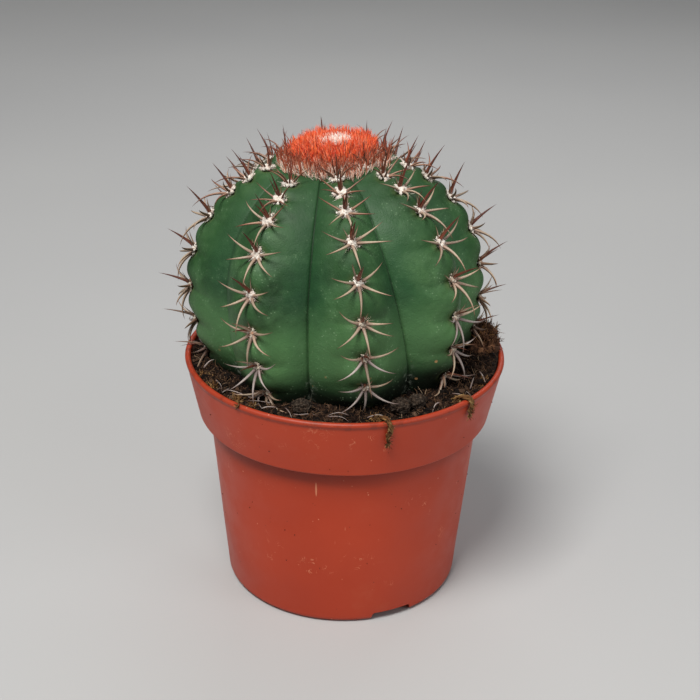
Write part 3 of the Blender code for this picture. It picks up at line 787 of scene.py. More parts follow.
def clumped(rng, paths, clumps, pull):
    """Draws the tips of hairs together into clumps."""
    tips = paths[:, -1]
    chosen = tips[rng.choice(len(tips), clumps, replace=False)]
    nearest = np.linalg.norm(tips[:, None] - chosen[None], axis=2).argmin(1)
    share = np.linspace(0, 1, paths.shape[1])[None, :, None] ** 1.6
    return paths + (chosen[nearest] - tips)[:, None] * share * pull


def hair_radii(rng, count, low, high, taper=(0.9, 1, 0.85, 0.55, 0)):
    return np.outer(rng.uniform(low, high, count) * MM, taper)


def add_hairs(piece, spots, tilt, curve, length, widths, bands, sides=3, clumps=0, **place):
    """Hairs on the spots; the other values are ranges, in degrees and millimetres."""
    rng, count = piece.rng, len(spots[0])
    tilt, curve, length = (rng.uniform(*span, count) for span in (tilt, curve, length))
    paths = leaning_hairs(rng, spots, tilt, length * MM, curve, **place)
    if clumps:
        paths = clumped(rng, paths, clumps, 0.4)
    piece.tubes(paths, hair_radii(rng, count, *widths), bands, sides)


def build_crown():
    slot, cap = "crown_bristles", Strands(37)
    rng, count = cap.rng, CAP_BRISTLES
    finish_piece("crown_core", cap_core(), crown_wool_material(), slot, ["crown"], STEM_FRAME)
    reach, height, slope = cap_places(rng, count)
    wall = slope / 90
    spots = rng.uniform(0, TAU, count), reach, CAP_BASE + height - 0.0008
    tilt = 22 * wall + rng.normal(scale=8, size=count)
    length = (2.4 + 2.6 * rng.random(count) ** 2.4 + 1.9 * wall) * MM
    paths = leaning_hairs(rng, spots, tilt, length, rng.uniform(-12, 14, count) * wall)
    paths = clumped(rng, paths, 420, 0.30)
    radii = hair_radii(rng, count, 0.085, 0.155)
    patch = np.linalg.norm((paths[:, 0, :2] - WHITE_MIDDLE) * (0.8, 1.0), axis=1)
    keep = (patch > 0.0035 * rng.uniform(0.4, 1.4, count)) | (rng.random(count) < 0.20)
    keep &= (height > 0.25 * CAP_HEIGHT) | (rng.random(count) < 0.6)
    pale = (patch < 0.0052 * rng.uniform(0.4, 1.4, count)) | (rng.random(count) < 0.10)
    bands = np.where(pale, rng.integers(60, 64, count), rng.integers(0, 40, count))
    facing = polar(rng.uniform(0, TAU, count), 1, 0.2)
    cap.tubes(paths[keep], radii[keep], bands[keep], 3, facing[keep])
    # fine pink bristles and thicker young spines round the foot
    spots = shoulder(rng, PINK_BRISTLES, 0.97, 1.18)
    add_hairs(cap, spots, (-4, 28), (-12, 36), (3.2, 5.6), (0.10, 0.17), (40, 50), 4)
    spots = shoulder(rng, YOUNG_SPINES, 1.04, 1.42)
    add_hairs(cap, spots, (-8, 24), (-12, 36), (4.2, 7.8), (0.17, 0.27), (50, 60), 4)
    cap.finish(slot, bristle_material(), slot, (), STEM_FRAME)
    # white wool on the cap, cream wool round its foot
    wool, count = Strands(rng), WHITE_HAIRS
    reach = 0.0041 * np.sqrt(rng.uniform(0, 1, count))
    spots = rng.uniform(0, TAU, count), reach, CAP_BASE + cap_height(reach) - 0.0004
    values = (-30, 45), (-40, 40), (1.8, 3.6), (0.07, 0.12), (0, 20)
    add_hairs(wool, spots, *values, middle=WHITE_MIDDLE)
    spots = shoulder(rng, CREAM_HAIRS, 0.97, 1.40)
    add_hairs(wool, spots, (-15, 55), (-30, 50), (1.3, 3.9), (0.075, 0.125), (20, 50), clumps=300)
    wool.finish("crown_tuft", tuft_material(), slot, (), STEM_FRAME)


def bristle_material():
    """Bands 0-39 are red bristles, 40-49 pink and 50-59 brown ones of the foot, 60-63 pale."""
    s = Shader("crown_bristles", 0.1)
    s.strands()
    s.colour = s.ramp(s.along, "0 f0ccb8, 0.26 eaa88a, 0.46 e25630, 0.72 dc3a1a, 1 c22a10")
    s.tint("f87c42", s.chance, 0.35, 0.9, 0, 0.8)
    s.tint("962004", s.chance, 0.05, 0.36, 0.85, 0)
    s.from_band(40, s.ramp(s.along, "0 f0ccb2, 0.34 dea284, 0.62 b4664a, 1 703024"))
    s.from_band(50, s.ramp(s.along, "0 d8a888, 0.25 a86048, 0.6 823c2c, 1 5a261e"))
    s.from_band(60, s.ramp(s.along, "0 f0beac, 0.6 f49676, 1 ec603c"))
    s.tint("ffb08c", s.across, 0.3, 0.9, 0.16, 0)
    return s.done(0.5, s.noise(3000, 2), 0.2, 0.0001)


def crown_wool_material():
    s = Shader("crown_wool", 0.1, Sheen_Weight=0.2)
    strands = s.noise(1.0, 3, 0.6, s.stretched((2600, 2600, 500)))
    s.colour = s.ramp(strands, "0.3 6e1406, 0.55 aa2a0e, 0.8 de7450")
    low = s.between(s.height, STEM_TOP + 0.0004, STEM_TOP + 0.0030, 1, 0)
    s.paint(low, s.ramp(strands, "0.3 a06450, 0.55 deb69e, 0.8 f4e2d2"))
    return s.done(s.between(strands, 0.3, 0.7, 0.8, 0.95), strands, 0.8, 0.0006)


def tuft_material():
    """Bands 0-19 are white, 20-49 the creamy pink wool round the foot of the crown."""
    s = Shader("crown_tuft", 0.15, Sheen_Weight=0.3)
    s.strands()
    s.colour = s.ramp(s.chance, "0 e2b29e, 0.4 eedace, 1 f8f0e8")
    s.from_band(20, s.ramp(s.chance, "0 c88c74, 0.3 e6b89e, 0.6 f6e2d0, 1 fcf4ea"))
    s.tint("c8927c", s.along, 0, 0.3, 0.3, 0)
    return s.done(0.9, s.noise(3000, 2), 0.3, 0.0001)


# Pot

POT_STEPS = 224
# groups of rubbed marks: azimuth, height, half width and half height
SCUFFS = (
    (9, 0.0735, 0.0085, 0.0050),
    (-12, 0.0225, 0.0085, 0.0045),
    (7, 0.0250, 0.0080, 0.0045),
    (-30, 0.0240, 0.0040, 0.0060),
    (36, 0.0450, 0.0070, 0.0060),
)
TRICKLE = (-10.5, 0.0535, 0.00038, 0.0032)


def arc(x, y, radius, start, end, count):
    """Points on a circle round (x, y), angles in degrees."""
    angles = np.radians(np.linspace(start, end, count + 1))
    return [(x + radius * cos(a), y + radius * sin(a)) for a in angles]


def line(start, end, count):
    """Points between two ends, without the last."""
    return np.linspace(start, end, count, endpoint=False).tolist()


def pot_profile():
    """From the middle of the floor up the inside, over the lip and down to the underside."""
    inside, floor = BODY_BASE_RADIUS - WALL, FLOOR_LIFT + WALL
    inner_top, inner_collar = BODY_TOP_RADIUS - WALL, COLLAR_FOOT_RADIUS - WALL
    bead, lip_foot, collar_top = LIP_HEIGHT / 2, POT_HEIGHT - LIP_HEIGHT, RIM_RADIUS - LIP_STEP
    lip_inside = (RIM_RADIUS - LIP_HEIGHT - 0.0001, POT_HEIGHT - 0.0026)
    collar_end = (COLLAR_FOOT_RADIUS, COLLAR_FOOT + 0.0007)
    base_start = (BODY_BASE_RADIUS, BASE_ROUNDING)
    foot = FOOT_RADIUS - FOOT_WIDTH
    return [
        (0.0, floor),
        *line((0.008, floor), (inside - 0.0017, floor), 4),
        *arc(inside - 0.0017, floor + 0.0017, 0.0017, -90, 0, 4),
        *line((inside, floor + 0.004), (inner_top, BODY_TOP + WALL), 12),
        (inner_top, BODY_TOP + WALL),
        (inner_collar - 0.0006, COLLAR_FOOT + WALL),
        (inner_collar, COLLAR_FOOT + WALL + 0.0006),
        *line((inner_collar + 0.0002, COLLAR_FOOT + 0.004), lip_inside, 6),
        *arc(RIM_RADIUS - bead, POT_HEIGHT - bead, bead, 180, -40, 13),
        (collar_top + 0.0001, lip_foot),
        (collar_top, lip_foot - 0.0006),
        *line((collar_top - 0.0001, lip_foot - 0.0010), collar_end, 12),
        *arc(COLLAR_FOOT_RADIUS - 0.0007, COLLAR_FOOT + 0.0007, 0.0007, 0, -90, 5),
        *arc(BODY_TOP_RADIUS + 0.0013, COLLAR_FOOT - 0.0012, 0.0012, 90, 180, 5),
        *line((BODY_TOP_RADIUS + 0.0001, BODY_TOP - 0.0016), base_start, 26),
        *arc(BODY_BASE_RADIUS - BASE_ROUNDING, BASE_ROUNDING, BASE_ROUNDING, 0, -72, 7),
        (FOOT_RADIUS - 0.0003, 0.0),
        (foot + 0.0003, 0.0),
        (foot, 0.0003),
        (foot - 0.0004, FLOOR_LIFT),
        *line((foot - 0.002, FLOOR_LIFT), (0.006, FLOOR_LIFT), 4),
        (0.0, FLOOR_LIFT),
    ]


def moulded(place):
    """Gives a thin moulded wall its small unevenness; the foot stays flat."""
    if place.z < 0.006 or place.length < 0.01:
        return place
    out = Vector((place.x, place.y, 0)).normalized() * min((place.z - 0.006) / 0.01, 1.0)
    return place + out * (0.00016 * noise(place * 38) + 0.00003 * noise(place * 210))


def wall_radius(height):
    """Radius of the pot's outside at a height below the lip."""
    heights = (0.0, BODY_TOP, COLLAR_FOOT, POT_HEIGHT - LIP_HEIGHT)
    radii = (BODY_BASE_RADIUS, BODY_TOP_RADIUS, COLLAR_FOOT_RADIUS, RIM_RADIUS - LIP_STEP)
    return float(np.interp(height, heights, radii))


def make_notch(bm):
    bmesh.ops.create_cube(bm, size=1.0)
    for vert in bm.verts:
        half = NOTCH_WIDTH / 2 - (NOTCH_SLANT if vert.co.z > 0 else 0.0)
        height = copysign(NOTCH_HEIGHT, vert.co.z)
        vert.co = (copysign(half, vert.co.x), vert.co.y * NOTCH_DEPTH, height)
    top = [edge for edge in bm.edges if all(vert.co.z > 0 for vert in edge.verts)]
    bmesh.ops.bevel(bm, geom=top, offset=0.0004, segments=2, affect="EDGES")


def build_pot():
    pot = linked("pot", revolved(pot_profile(), POT_STEPS, moulded))
    sizes = {"radius1": DRAIN_RADIUS, "radius2": DRAIN_RADIUS, "depth": 4 * WALL}
    drain = smooth_mesh(*solid(bmesh.ops.create_cone, cap_ends=True, segments=32, **sizes))
    notch = smooth_mesh(*solid(make_notch))
    cutters = []
    for azimuth in NOTCH_AZIMUTHS:
        place = around(azimuth, FOOT_RADIUS - FOOT_WIDTH / 2)
        cutters.append(linked("cutter", notch, place, radians(azimuth)))
    for index in range(DRAIN_COUNT):
        place = around(360 * index / DRAIN_COUNT, DRAIN_CIRCLE, FLOOR_LIFT + WALL / 2)
        cutters.append(linked("cutter", drain, place))
    for cutter in cutters:
        boolean = pot.modifiers.new("cut", "BOOLEAN")
        boolean.operation, boolean.solver, boolean.object = "DIFFERENCE", "EXACT", cutter
    graph = bpy.context.evaluated_depsgraph_get()
    data = bpy.data.meshes.new_from_object(pot.evaluated_get(graph))
    for thing in (pot, *cutters):
        bpy.data.objects.remove(thing, do_unlink=True)
    data.shade_smooth()
    data.set_sharp_from_angle(angle=SHARP)
    finish_piece("nursery_pot", data, pot_material(), "terracotta_plastic", ["pot"])


def pot_material():
    s = Shader("terracotta_plastic", 0.36, Coat_Weight=0.03, Coat_Roughness=0.5)
    height = s.height
    s.colour = s.ramp(s.noise(24, 3, 0.5), "0.3 aa391d, 0.7 b64023")
    # painted shade: the wall is darker towards the foot
    s.tint("98301a", height, 0.0, 0.030, 0.30, 0)
    lip = s.between(height, 0.0786, 0.0798)
    s.paint(s.mul(lip, 0.7), "8e321c")
    s.paint(s.mul(s.between(s.noise(190, 5, 0.75), 0.50, 0.62), lip, 0.35), "4a2618")
    s.tint("b86c4e", s.noise(70, 5, 0.7), 0.55, 0.8, 0, 0.14)
    # rubbed marks: thin curling pale lines, in a few groups
    groups = s.between(s.noise(52, 2, 0.5), 0.62, 0.72, 0, 0.6)
    for scuff in SCUFFS:
        groups = s.math("MAXIMUM", groups, s.spot(*scuff))
    curls = s.math("ABSOLUTE", s.math("SUBTRACT", s.noise(300, 2, 0.5, None, 1.6), 0.5))
    patches = s.between(s.noise(210, 2), 0.53, 0.60)
    scuffs = s.mul(s.between(curls, 0.006, 0.024, 1, 0), patches, groups)
    s.paint(s.mul(scuffs, 0.6), "de8a66")
    # one dried trickle, and a painted shadow: a soft dark band under the collar
    trickle = s.mul(s.spot(*TRICKLE), s.between(s.noise(700, 2), 0.35, 0.5), 0.65)
    s.paint(trickle, "e49670")
    band = s.mul(s.between(height, 0.0530, 0.0592), s.between(height, 0.0600, 0.0612, 1, 0))
    s.paint(s.mul(band, 0.5), "682214")
    # specks and streaks of dried lime, and tiny crumbs of peat
    s.flecks("dea07e", s.cells(360), 0.05, 0.11, s.noise(90, 2), 0.55, 0.63, 0.6)
    streaks = s.cells(1.0, s.stretched((420, 420, 70)))
    s.flecks("da8e6c", streaks, 0.04, 0.10, s.noise(46, 2), 0.62, 0.70, 0.5)
    s.flecks("3a1c14", s.cells(240), 0.03, 0.055, s.noise(120, 2), 0.50, 0.56, 0.85)
    relief = s.math("ADD", s.mul(s.noise(2400, 3, 0.6), 0.25), s.mul(scuffs, 0.6))
    relief = s.math("ADD", relief, s.mul(s.noise(160, 3), 0.5))
    return s.done(s.between(s.noise(90, 4, 0.6), 0.3, 0.7, 0.42, 0.56), relief, 0.12, 0.0004)


# Soil

SOIL_COLUMNS, SOIL_RINGS, SOIL_FROM = 600, 80, 0.0300
SOIL_GAP = 0.0003  # between the pot's inside and the filling
CRUMBS, DUST, STUCK_SPECKS, FIBRES = 2300, 2800, 46, 1900
# azimuth, distance from the axis and half sizes of the clods
CLODS = (
    (-17, 0.0434, (0.0030, 0.0025, 0.0021)),
    (23.5, 0.0438, (0.0032, 0.0027, 0.0024)),
    (32.5, 0.0424, (0.0029, 0.0025, 0.0022)),
)
HEAP_AZIMUTH, HEAP_FROM_AXIS, HEAP_LUMPS, HEAP_THREADS = 97, 0.0452, 150, 1150
HEAP_HEIGHT, HEAP_TURN, HEAP_DEPTH = 0.0028, 12, 0.0066
# hanging strands of moss: name, replaced node, azimuth, how far it hangs
STRANDS = (
    ("moss_hang_front", "moss_strand_front", 15.3, 0.0082),
    ("moss_hang_right", "moss_strand_right", 48.5, 0.0050),
)
STRAND_HALF_WIDTH, STRAND_RINGS, STRAND_PLIES, STRAND_HAIRS = 0.00095, 26, 8, 150
# azimuth, distance from the axis, spread in millimetres, number of threads
MOSS_TUFTS = (
    (-43, 0.0480, 2.6, 130),
    (-58, 0.0488, 1.8, 60),
    (-69, 0.0492, 2.4, 90),
    (-36, 0.0470, 1.6, 50),
    (12, 0.0470, 2.2, 70),
    (47, 0.0492, 2.0, 60),
    (66, 0.0490, 1.6, 40),
    (150, 0.0480, 2.4, 80),
    (205, 0.0470, 2.6, 80),
)
LIP_BIT_AZIMUTH, LIP_BIT_THREADS = -37.5, 14
MOSS_BANDS, LYING_TAPER = (48, 64), (0.6, 1, 1, 0.9, 0.7, 0)
# azimuth, distance from the axis, heading as an azimuth, length in millimetres
OLD_SPINES = (
    (-30, 0.0432, -100, 9.5),
    (-27, 0.0452, -55, 8.0),
    (-24, 0.0440, 25, 10.0),
    (-19, 0.0462, 60, 8.5),
    (-36, 0.0450, 170, 7.5),
    (-44, 0.0445, -120, 8.0),
    (-52, 0.0455, -20, 7.0),
    (-62, 0.0462, 30, 8.0),
    (-74, 0.0472, 150, 7.0),
    (-6, 0.0452, 80, 8.0),
    (2, 0.0440, -70, 7.5),
    (9, 0.0458, 100, 8.5),
    (40, 0.0462, -30, 7.0),
    (50, 0.0445, 60, 9.0),
    (58, 0.0470, 160, 7.5),
    (70, 0.0462, 20, 8.0),
    (128, 0.0462, 40, 8.0),
    (170, 0.0455, -70, 9.0),
    (226, 0.0462, 100, 8.0),
)


def surface(x, y):
    """The soil's surface with its grains."""
    place = Vector((x, y, 0.0))
    grains = noise(place * 430) * 0.00050 + 0.00030 * noise(place * 1500) - 0.00018
    return soil_height(x, y) + grains + abs(noise(place * 760 + Vector((3, 1, 0)))) * 0.00095


def soil_mesh():
    """The filling of the pot, its top finely grained where it shows."""
    gap, floor = WALL + SOIL_GAP, FLOOR_LIFT + WALL + SOIL_GAP
    turns = TAU * np.arange(SOIL_COLUMNS) / SOIL_COLUMNS
    circle = np.stack([np.cos(turns), np.sin(turns)], 1)
    levels = [(radius, soil_height) for radius in (0.010, 0.020)]
    levels += [(radius, surface) for radius in np.linspace(SOIL_FROM, SOIL_EDGE, SOIL_RINGS)]
    levels += [
        (COLLAR_FOOT_RADIUS - gap, lambda x, y: COLLAR_FOOT + WALL + 0.0009),
        (BODY_TOP_RADIUS - gap, lambda x, y: BODY_TOP + WALL),
        (BODY_BASE_RADIUS - gap, lambda x, y: floor + 0.0017),
        (BODY_BASE_RADIUS - gap - 0.0017, lambda x, y: floor),
    ]
    rings = [[(x, y, level(x, y)) for x, y in radius * circle] for radius, level in levels]
    return shell((0, 0, soil_height(0, 0)), rings, (0, 0, floor))


def soil_material():
    s = Shader("peat_soil", 0.2)
    fine, mid = s.noise(1300, 6, 0.72), s.noise(420, 5, 0.65)
    s.colour = s.ramp(fine, "0.34 0d0907, 0.5 1e140e, 0.6 3a281c, 0.76 7c5e44")
    s.tint("1e1510", mid, 0.48, 0.66, 0, 0.6)
    s.flecks("a48462", s.cells(800), 0.06, 0.16, s.noise(500, 2), 0.52, 0.62, 0.7)
    relief = s.math("ADD", fine, s.mul(mid, 0.8))
    return s.done(s.between(fine, 0.3, 0.7, 0.98, 0.8), relief, 0.9, 0.0008)


def crumb_material():
    s = Shader("peat_crumbs", 0.2)
    s.strands()
    stops = "0 0f0a07, 0.35 1f150f, 0.62 36261b, 0.84 4e3829, 0.95 665040, 1 605850"
    s.colour = s.ramp(s.chance, stops)
    s.tint("160f0b", s.noise(14.0, 3, 0.7, s.uv), 0.4, 0.7, 0.5, 0)
    return s.done(0.93, s.noise(2600, 3, 0.7), 0.8, 0.0004)


def clod_material():
    s = Shader("peat_clod", 0.2)
    fine = s.noise(1500, 6, 0.72)
    s.colour = s.ramp(fine, "0.34 15110e, 0.5 2e2620, 0.7 665a4e")
    s.tint("46362a", s.noise(600, 4, 0.6), 0.5, 0.7, 0, 0.5)
    return s.done(s.between(fine, 0.3, 0.7, 0.98, 0.85), fine, 0.9, 0.0006)


def fibre_material():
    """Bands 0-31 are mixed threads, 32-47 red-brown root, 48-63 yellow-brown moss."""
    s = Shader("dry_fibres", 0.25)
    s.strands()
    s.colour = s.ramp(s.chance, "0 302018, 0.45 543c2b, 0.85 7e624a, 1 b49c80")
    s.from_band(32, s.ramp(s.chance, "0 2c1c13, 0.4 503424, 0.8 6e4a34, 1 8e664a"))
    s.from_band(48, s.ramp(s.chance, "0 3e2816, 0.4 6c4a2a, 0.8 987244, 1 c0a06c"))
    s.tint("3c2a1c", s.across, 0.2, 0.9, 0.3, 0)
    s.tint("3e2a1b", s.noise(9.0, 3, 0.6, s.uv), 0.4, 0.7, 0.3, 0)
    return s.done(0.85, s.noise(2600, 2), 0.4, 0.0001)


def soil_spots(rng, count):
    """Random places on the soil that are clear of the stem."""
    spots = []
    while len(spots) < count:
        radius = rng.uniform(0.034**2, (SOIL_EDGE - 0.0004) ** 2) ** 0.5
        place = around(rng.uniform(-180, 180), radius)
        place.z = surface(place.x, place.y)
        if outside_stem(place, 0.0002):
            spots.append(place)
    return spots


def build_crumbs(material):
    piece = Strands(41)
    rng = piece.rng
    spots = np.array(soil_spots(rng, CRUMBS))
    size = rng.uniform(0.25, 0.62, CRUMBS) + 0.8 * rng.random(CRUMBS) ** 5
    sizes = size[:, None] * rng.uniform(0.6, 1.15, (CRUMBS, 3)) * MM
    spots[:, 2] += sizes.mean(1) * 0.35
    piece.lumps(spots, sizes, (0, BANDS))
    piece.lumps(np.array(soil_spots(rng, DUST)) + (0, 0, 0.0001), (0.12, 0.30), (0, BANDS), 0.2)
    # specks stuck to the outside of the collar and the wall
    heights = POT_HEIGHT - 0.0022 - 0.060 * rng.random(STUCK_SPECKS) ** 0.8
    turns = rng.uniform(-110, 110, STUCK_SPECKS)
    spots = [around(a, wall_radius(h) + 0.00006, h) for a, h in zip(turns, heights)]
    piece.lumps(spots, (0.09, 0.24), (0, BANDS // 2))
    piece.finish("peat_crumbs", material, "peat_soil").shade_flat()


def build_clods(material):
    """Lumps of stuck-together peat, each one closed and rough all over."""
    points, faces = ball(5)
    for index, (azimuth, from_axis, half_sizes) in enumerate(CLODS, 1):
        place = around(azimuth, from_axis)
        place.z = soil_height(place.x, place.y)
        turn = Matrix.Rotation(radians(azimuth + 20), 3, "Z")
        shaped = []
        for out in map(Vector, points):
            rough = 1 + 0.32 * noise(out * 1.7 + place * 900)
            rough += 0.20 * noise(out * 4.5 + place * 500)
            rough += 0.13 * abs(noise(out * 11 + place * 300))
            rough += 0.03 * noise(out * 24)
            shape = place + turn @ Vector(h * a * rough for h, a in zip(half_sizes, out))
            low = soil_height(shape.x, shape.y) - 0.0006
            shape.z = max(shape.z + half_sizes[2] * 0.95, low)
            shaped.append(shape)
        data = smooth_mesh(shaped, faces)
        finish_piece(f"clod_{index}", data, material, "peat_soil", [f"peat_clod_{index}"])


def heap_floor(x, y):
    """What a loose fibre comes to rest on: the soil, or the lip beyond it."""
    if hypot(x, y) > RIM_RADIUS - LIP_HEIGHT - 0.0006:
        return POT_HEIGHT + 0.0002
    return soil_height(x, y)


def lying(rng, spots, rise):
    """Starts and headings of threads that lie on the soil."""
    for spot in spots:
        turn = rng.uniform(0, TAU)
        heading = (cos(turn), sin(turn), rng.uniform(*rise))
        yield np.array(spot) + (0, 0, 0.0002), heading


def build_fibres(material):
    """Root hairs, dry grass and sphagnum threads lying on the peat."""
    piece = Strands(47)
    sprouts = lying(piece.rng, soil_spots(piece.rng, FIBRES), (-0.1, 0.45))
    piece.threads(sprouts, (0.9, 3.9), (0.05, 0.12), LYING_TAPER, (0, 32), 0.30, surface)
    piece.finish("peat_fibres", material, "dry_moss")


def heap_spot(rng, turn, radius, clearance, low, high):
    """A place in the heap, between two shares of its height, or None outside it."""
    away = hypot((turn - HEAP_AZIMUTH) / HEAP_TURN, (radius - HEAP_FROM_AXIS) / HEAP_DEPTH)
    lift = HEAP_HEIGHT * (1 - away**2.2)
    place = around(turn, radius, 0.084)
    if lift <= 0 or radius > 0.0515 or not outside_stem(place, clearance):
        return None
    place.z = soil_height(place.x, place.y) + lift * rng.uniform(low, high)
    return place


def heap_sprouts(rng):
    """Starts and headings of the threads of the heap."""
    for _ in range(HEAP_THREADS):
        turn, radius = HEAP_AZIMUTH + rng.normal() * 6, HEAP_FROM_AXIS + rng.normal() * 0.0028
        start = heap_spot(rng, turn, radius, 0.0010, 0.5, 1.05)
        if start:
            yield start, unit(rng.normal(size=3) + (0.35, 0.0, 0.55))


def build_heap(material):
    """The fibrous brown heap of root and moss at the back right."""
    heap, spots = Strands(53), []
    while len(spots) < HEAP_LUMPS:
        turn = heap.rng.uniform(HEAP_AZIMUTH - HEAP_TURN, HEAP_AZIMUTH + HEAP_TURN)
        radius = heap.rng.uniform(0.0395, 0.0507)
        spots += filter(None, [heap_spot(heap.rng, turn, radius, 0.0012, 0.1, 0.9)])
    heap.lumps(spots, (0.5, 1.5), (32, 48), 0.16, 2)
    sprouts, taper = heap_sprouts(heap.rng), (0.8, 1, 1, 0.85, 0.6, 0)
    heap.threads(sprouts, (1.6, 5.2), (0.07, 0.20), taper, (32, 50), 0.34, heap_floor)
    heap.finish("moss_heap", material, "dry_moss", ["moss_clump"])


def strand_spine(azimuth, hang):
    """The middle line of a strand that leaves the soil, crosses the lip and hangs down."""
    clear = STRAND_HALF_WIDTH * 0.8
    route = [
        (RIM_RADIUS - 0.0056, SOIL_LEVEL + 0.0010, -2.0),
        (RIM_RADIUS - 0.0036, SOIL_LEVEL + 0.0024, -1.0),
        (RIM_RADIUS - 0.0012, POT_HEIGHT + clear, -0.4),
        (RIM_RADIUS + clear * 0.8, POT_HEIGHT - 0.0004, 0.3),
    ]
    for share, sway in ((0.25, 0.5), (0.5, -0.2), (0.75, 0.4), (1.0, -0.5)):
        height = POT_HEIGHT - 0.0012 - hang * share
        route.append((wall_radius(height) + clear * 1.15, height, sway))
    knots = np.array([around(azimuth + sway, radius, height) for radius, height, sway in route])
    along = np.linspace(0, len(knots) - 1, STRAND_RINGS)
    spine = np.stack([np.interp(along, range(len(knots)), axis) for axis in knots.T], 1)
    spine[1:-1] = (spine[:-2] + 2 * spine[1:-1] + spine[2:]) / 4
    return spine


def strand_sprouts(rng, spine, outward, across):
    """Starts and headings of the loose hairs of a strand."""
    share = np.linspace(0, 1, STRAND_RINGS)
    for _ in range(STRAND_HAIRS):
        at = rng.uniform(0.02, 0.98)
        start = np.array([np.interp(at, share, axis) for axis in spine.T])
        start += (across * rng.normal() * 0.5 + outward * 0.3) * STRAND_HALF_WIDTH
        heading = outward * rng.uniform(0.1, 0.9) + across * rng.normal()
        yield start, unit(heading + (0, 0, rng.uniform(-1.2, 0.5)))


def build_strands(material):
    """Twisted strands of moss with loose hairs."""
    share = np.linspace(0, 1, STRAND_RINGS)
    thick = np.interp(share, (0, 0.15, 0.45, 0.75, 1), (0.5, 1.0, 1.0, 0.75, 0.35))
    thick *= STRAND_HALF_WIDTH
    for index, (name, node, azimuth, hang) in enumerate(STRANDS):
        strand = Strands(59 + index)
        rng, spine, outward = strand.rng, strand_spine(azimuth, hang), unit(around(azimuth, 1.0))
        across = np.array((outward[1], -outward[0], 0.0))
        lift = outward * 0.6 + np.array((0, 0, 0.8)) * (share < 0.4)[:, None]
        paths, radii = [], []
        for ply in range(STRAND_PLIES):
            phase = TAU * ply / STRAND_PLIES + rng.uniform(-0.3, 0.3)
            twist = phase + share * rng.uniform(9, 13)
            wide = thick * rng.uniform(0.5, 0.95)
            wide *= 1 + 0.3 * np.sin(share * rng.uniform(9, 25) + phase)
            offset = across * (np.cos(twist) * wide)[:, None]
            paths.append(spine + offset + lift * (np.sin(twist) * wide * 0.55)[:, None])
            size = thick * rng.uniform(0.24, 0.42)
            size *= (1 + 0.35 * rng.normal(size=STRAND_RINGS)).clip(0.4, 1.6)
            size[-1] = 0
            radii.append(size)
        strand.tubes(paths, radii, MOSS_BANDS, 5)
        sprouts, taper = strand_sprouts(rng, spine, outward, across), (0.9, 1, 0.9, 0.6, 0)
        strand.threads(sprouts, (0.6, 2.2), (0.05, 0.13), taper, MOSS_BANDS, 0.4, sides=3)
        strand.finish(name, material, "dry_moss", [node])


def build_tufts(material):
    """Yellow-brown bits of moss lying on the soil near the rim, and one on the lip."""
    piece = Strands(61)
    rng = piece.rng
    for azimuth, from_axis, spread, count in MOSS_TUFTS:
        middle = around(azimuth, from_axis)
        spots = []
        for _ in range(count):
            place = middle + Vector(rng.normal(scale=spread * 0.42 * MM, size=3))
            place.z = 0.081
            if place.xy.length < SOIL_EDGE - 0.0004 and outside_stem(place, 0.0004):
                away = (place - middle).xy.length / (spread * 0.5 * MM)
                pile = rng.uniform(0, 0.0012 * exp(-away * away))
                place.z = surface(place.x, place.y) + pile
                spots.append(place)
        sprouts = lying(rng, spots, (-0.2, 0.8))
        piece.threads(sprouts, (0.8, 3.0), (0.06, 0.17), LYING_TAPER, MOSS_BANDS, 0.5, surface)
        piece.lumps(spots[: count // 5], (0.18, 0.48), MOSS_BANDS)
    start = around(LIP_BIT_AZIMUTH, RIM_RADIUS - 0.0002, POT_HEIGHT + 0.0003)
    headings = (unit((-0.5, -0.8, rng.uniform(-1.4, 0.1))) for _ in range(LIP_BIT_THREADS))
    sprouts, taper = ((start, heading) for heading in headings), (0.16, 0.18, 0.16, 0.13, 0.08, 0)
    piece.threads(sprouts, (1.0, 2.6), None, taper, MOSS_BANDS, 0.35)
    piece.finish("moss_bits", material, "dry_moss")


def build_old_spines(material):
    """Shed spines, dried pale, lying on the soil."""
    piece = Strands(67)
    rng = piece.rng
    paths, radii = [], []
    for azimuth, from_axis, heading, length in OLD_SPINES:
        turn = pi - np.radians(heading + rng.uniform(-45, 45) * SPINE_MIDDLE)
        moves = polar(turn, 1, 0) * length * MM / (SPINE_RINGS - 1)
        path = np.concatenate([np.zeros((1, 3)), moves.cumsum(0)]) + around(azimuth, from_axis)
        arch = rng.uniform(0.3, 1.6) * MM
        for point, along in zip(path, SPINE_SHARE):
            ground = max(soil_height(point[0], point[1]), heap_floor(point[0], point[1]))
            point[2] = ground + 0.0007 + arch * sin(pi * along)
        paths.append(path)
        radii.append(rng.uniform(0.20, 0.32) * MM * (1 - SPINE_SHARE**1.5))
    piece.tubes(paths, radii, (56, 64), SPINE_SIDES)
    piece.finish("old_spines", material, "spines")


# Stage

FLOOR_REACH, FLOOR_WALL, FLOOR_BEND, FLOOR_STEPS = 1.9, 0.9, 0.45, 120
AIM = Vector((0, 0, 0.09))
# name, place, sizes, power, colour
LIGHTS = (
    ("key", (-0.22, -0.46, 0.95), (0.40, 0.34), 12.6, (1.0, 0.985, 0.96)),
    ("fill", (0.80, -0.48, 0.48), (0.5, 0.5), 2.3, (0.97, 0.985, 1.0)),
    ("back", (0.15, 0.60, 0.65), (0.7, 0.3), 2.2, (1.0, 1.0, 1.0)),
)
# the photograph's viewpoint, half a metre away
CAMERA_AWAY, CAMERA_LENS, CAMERA_SENSOR = 0.5, 77.87, 36
CAMERA_PITCH, CAMERA_ROLL = radians(25.876), radians(1.104)
CAMERA_AIM = Vector((0.00171, 0.0, 0.08105))


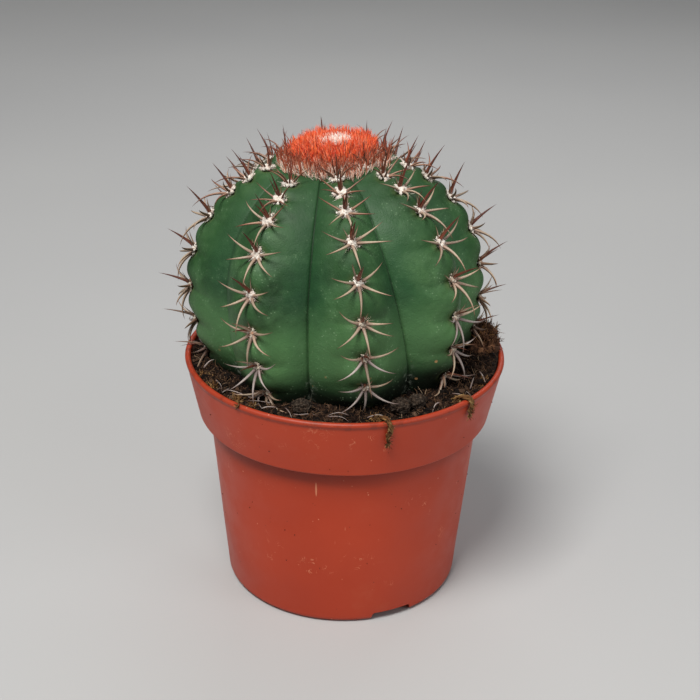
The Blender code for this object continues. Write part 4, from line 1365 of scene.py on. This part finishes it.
def build_stage():
    """A plain floor that curves up all round, so that no view shows its edge."""
    curve = arc(FLOOR_REACH - FLOOR_BEND, FLOOR_BEND, FLOOR_BEND, -90, 0, 14)
    outside = FLOOR_REACH + 0.02
    profile = [(0, 0), (0.4, 0), (0.9, 0), *curve, (FLOOR_REACH, FLOOR_WALL)]
    profile += [(outside, FLOOR_WALL), (outside, -0.05), (0, -0.05)]
    data = revolved(profile, FLOOR_STEPS)
    data.set_sharp_from_angle(angle=SHARP)
    s = Shader("studio_floor", 0.2)
    s.colour = s.ramp(s.noise(3, 2), "0.3 a8a8a8, 0.7 aeaead")
    data.materials.append(s.done(0.8, s.noise(400, 2), 0.02, 0.0001))
    linked("studio_floor", data)


def build_lights():
    world = bpy.data.worlds.new("studio")
    world.use_nodes = True
    sky = world.node_tree.nodes["Background"].inputs
    sky["Color"].default_value, sky["Strength"].default_value = (0.95, 0.97, 1.0, 1), 0.22
    bpy.context.scene.world = world
    for name, place, sizes, power, colour in LIGHTS:
        light = bpy.data.lights.new(name, "AREA")
        light.shape, light.energy, light.color = "RECTANGLE", power, colour
        light.size, light.size_y = sizes
        aim = (AIM - Vector(place)).to_track_quat("-Z", "Y")
        linked(name, light, place).rotation_euler = aim.to_euler()


def build_camera():
    camera = bpy.data.cameras.new("camera")
    camera.lens, camera.sensor_width, camera.clip_start = CAMERA_LENS, CAMERA_SENSOR, 0.01
    upright = Matrix.Rotation(pi / 2 - CAMERA_PITCH, 4, "X")
    view = upright @ Matrix.Rotation(CAMERA_ROLL, 4, "Z")
    view.translation = POT_AXIS + CAMERA_AIM + upright.col[2].xyz * CAMERA_AWAY
    thing = linked("camera", camera)
    thing.matrix_world = view
    bpy.context.scene.camera = thing


# Making

build_camera()
build_stage()
build_lights()
bpy.context.scene.view_settings.view_transform = "Standard"

SKIN = skin_mesh()
SKIN_TREE = bvhtree.BVHTree.FromPolygons(
    [STEM_IN_POT @ vert.co for vert in SKIN.vertices],
    [tuple(face.vertices) for face in SKIN.polygons],
)
finish_piece("stem_skin", SKIN, skin_material(), "cactus_skin", ["stem"], STEM_FRAME)
AREOLES = areole_places()
SPINES = spine_material()
build_spines(SPINES)
build_old_spines(SPINES)
build_wool(wool_material())
build_crown()
build_pot()
finish_piece("peat", soil_mesh(), soil_material(), "peat_soil", ["soil"])
build_crumbs(crumb_material())
build_clods(clod_material())
THREADS = fibre_material()
build_fibres(THREADS)
build_heap(THREADS)
build_strands(THREADS)
build_tufts(THREADS)
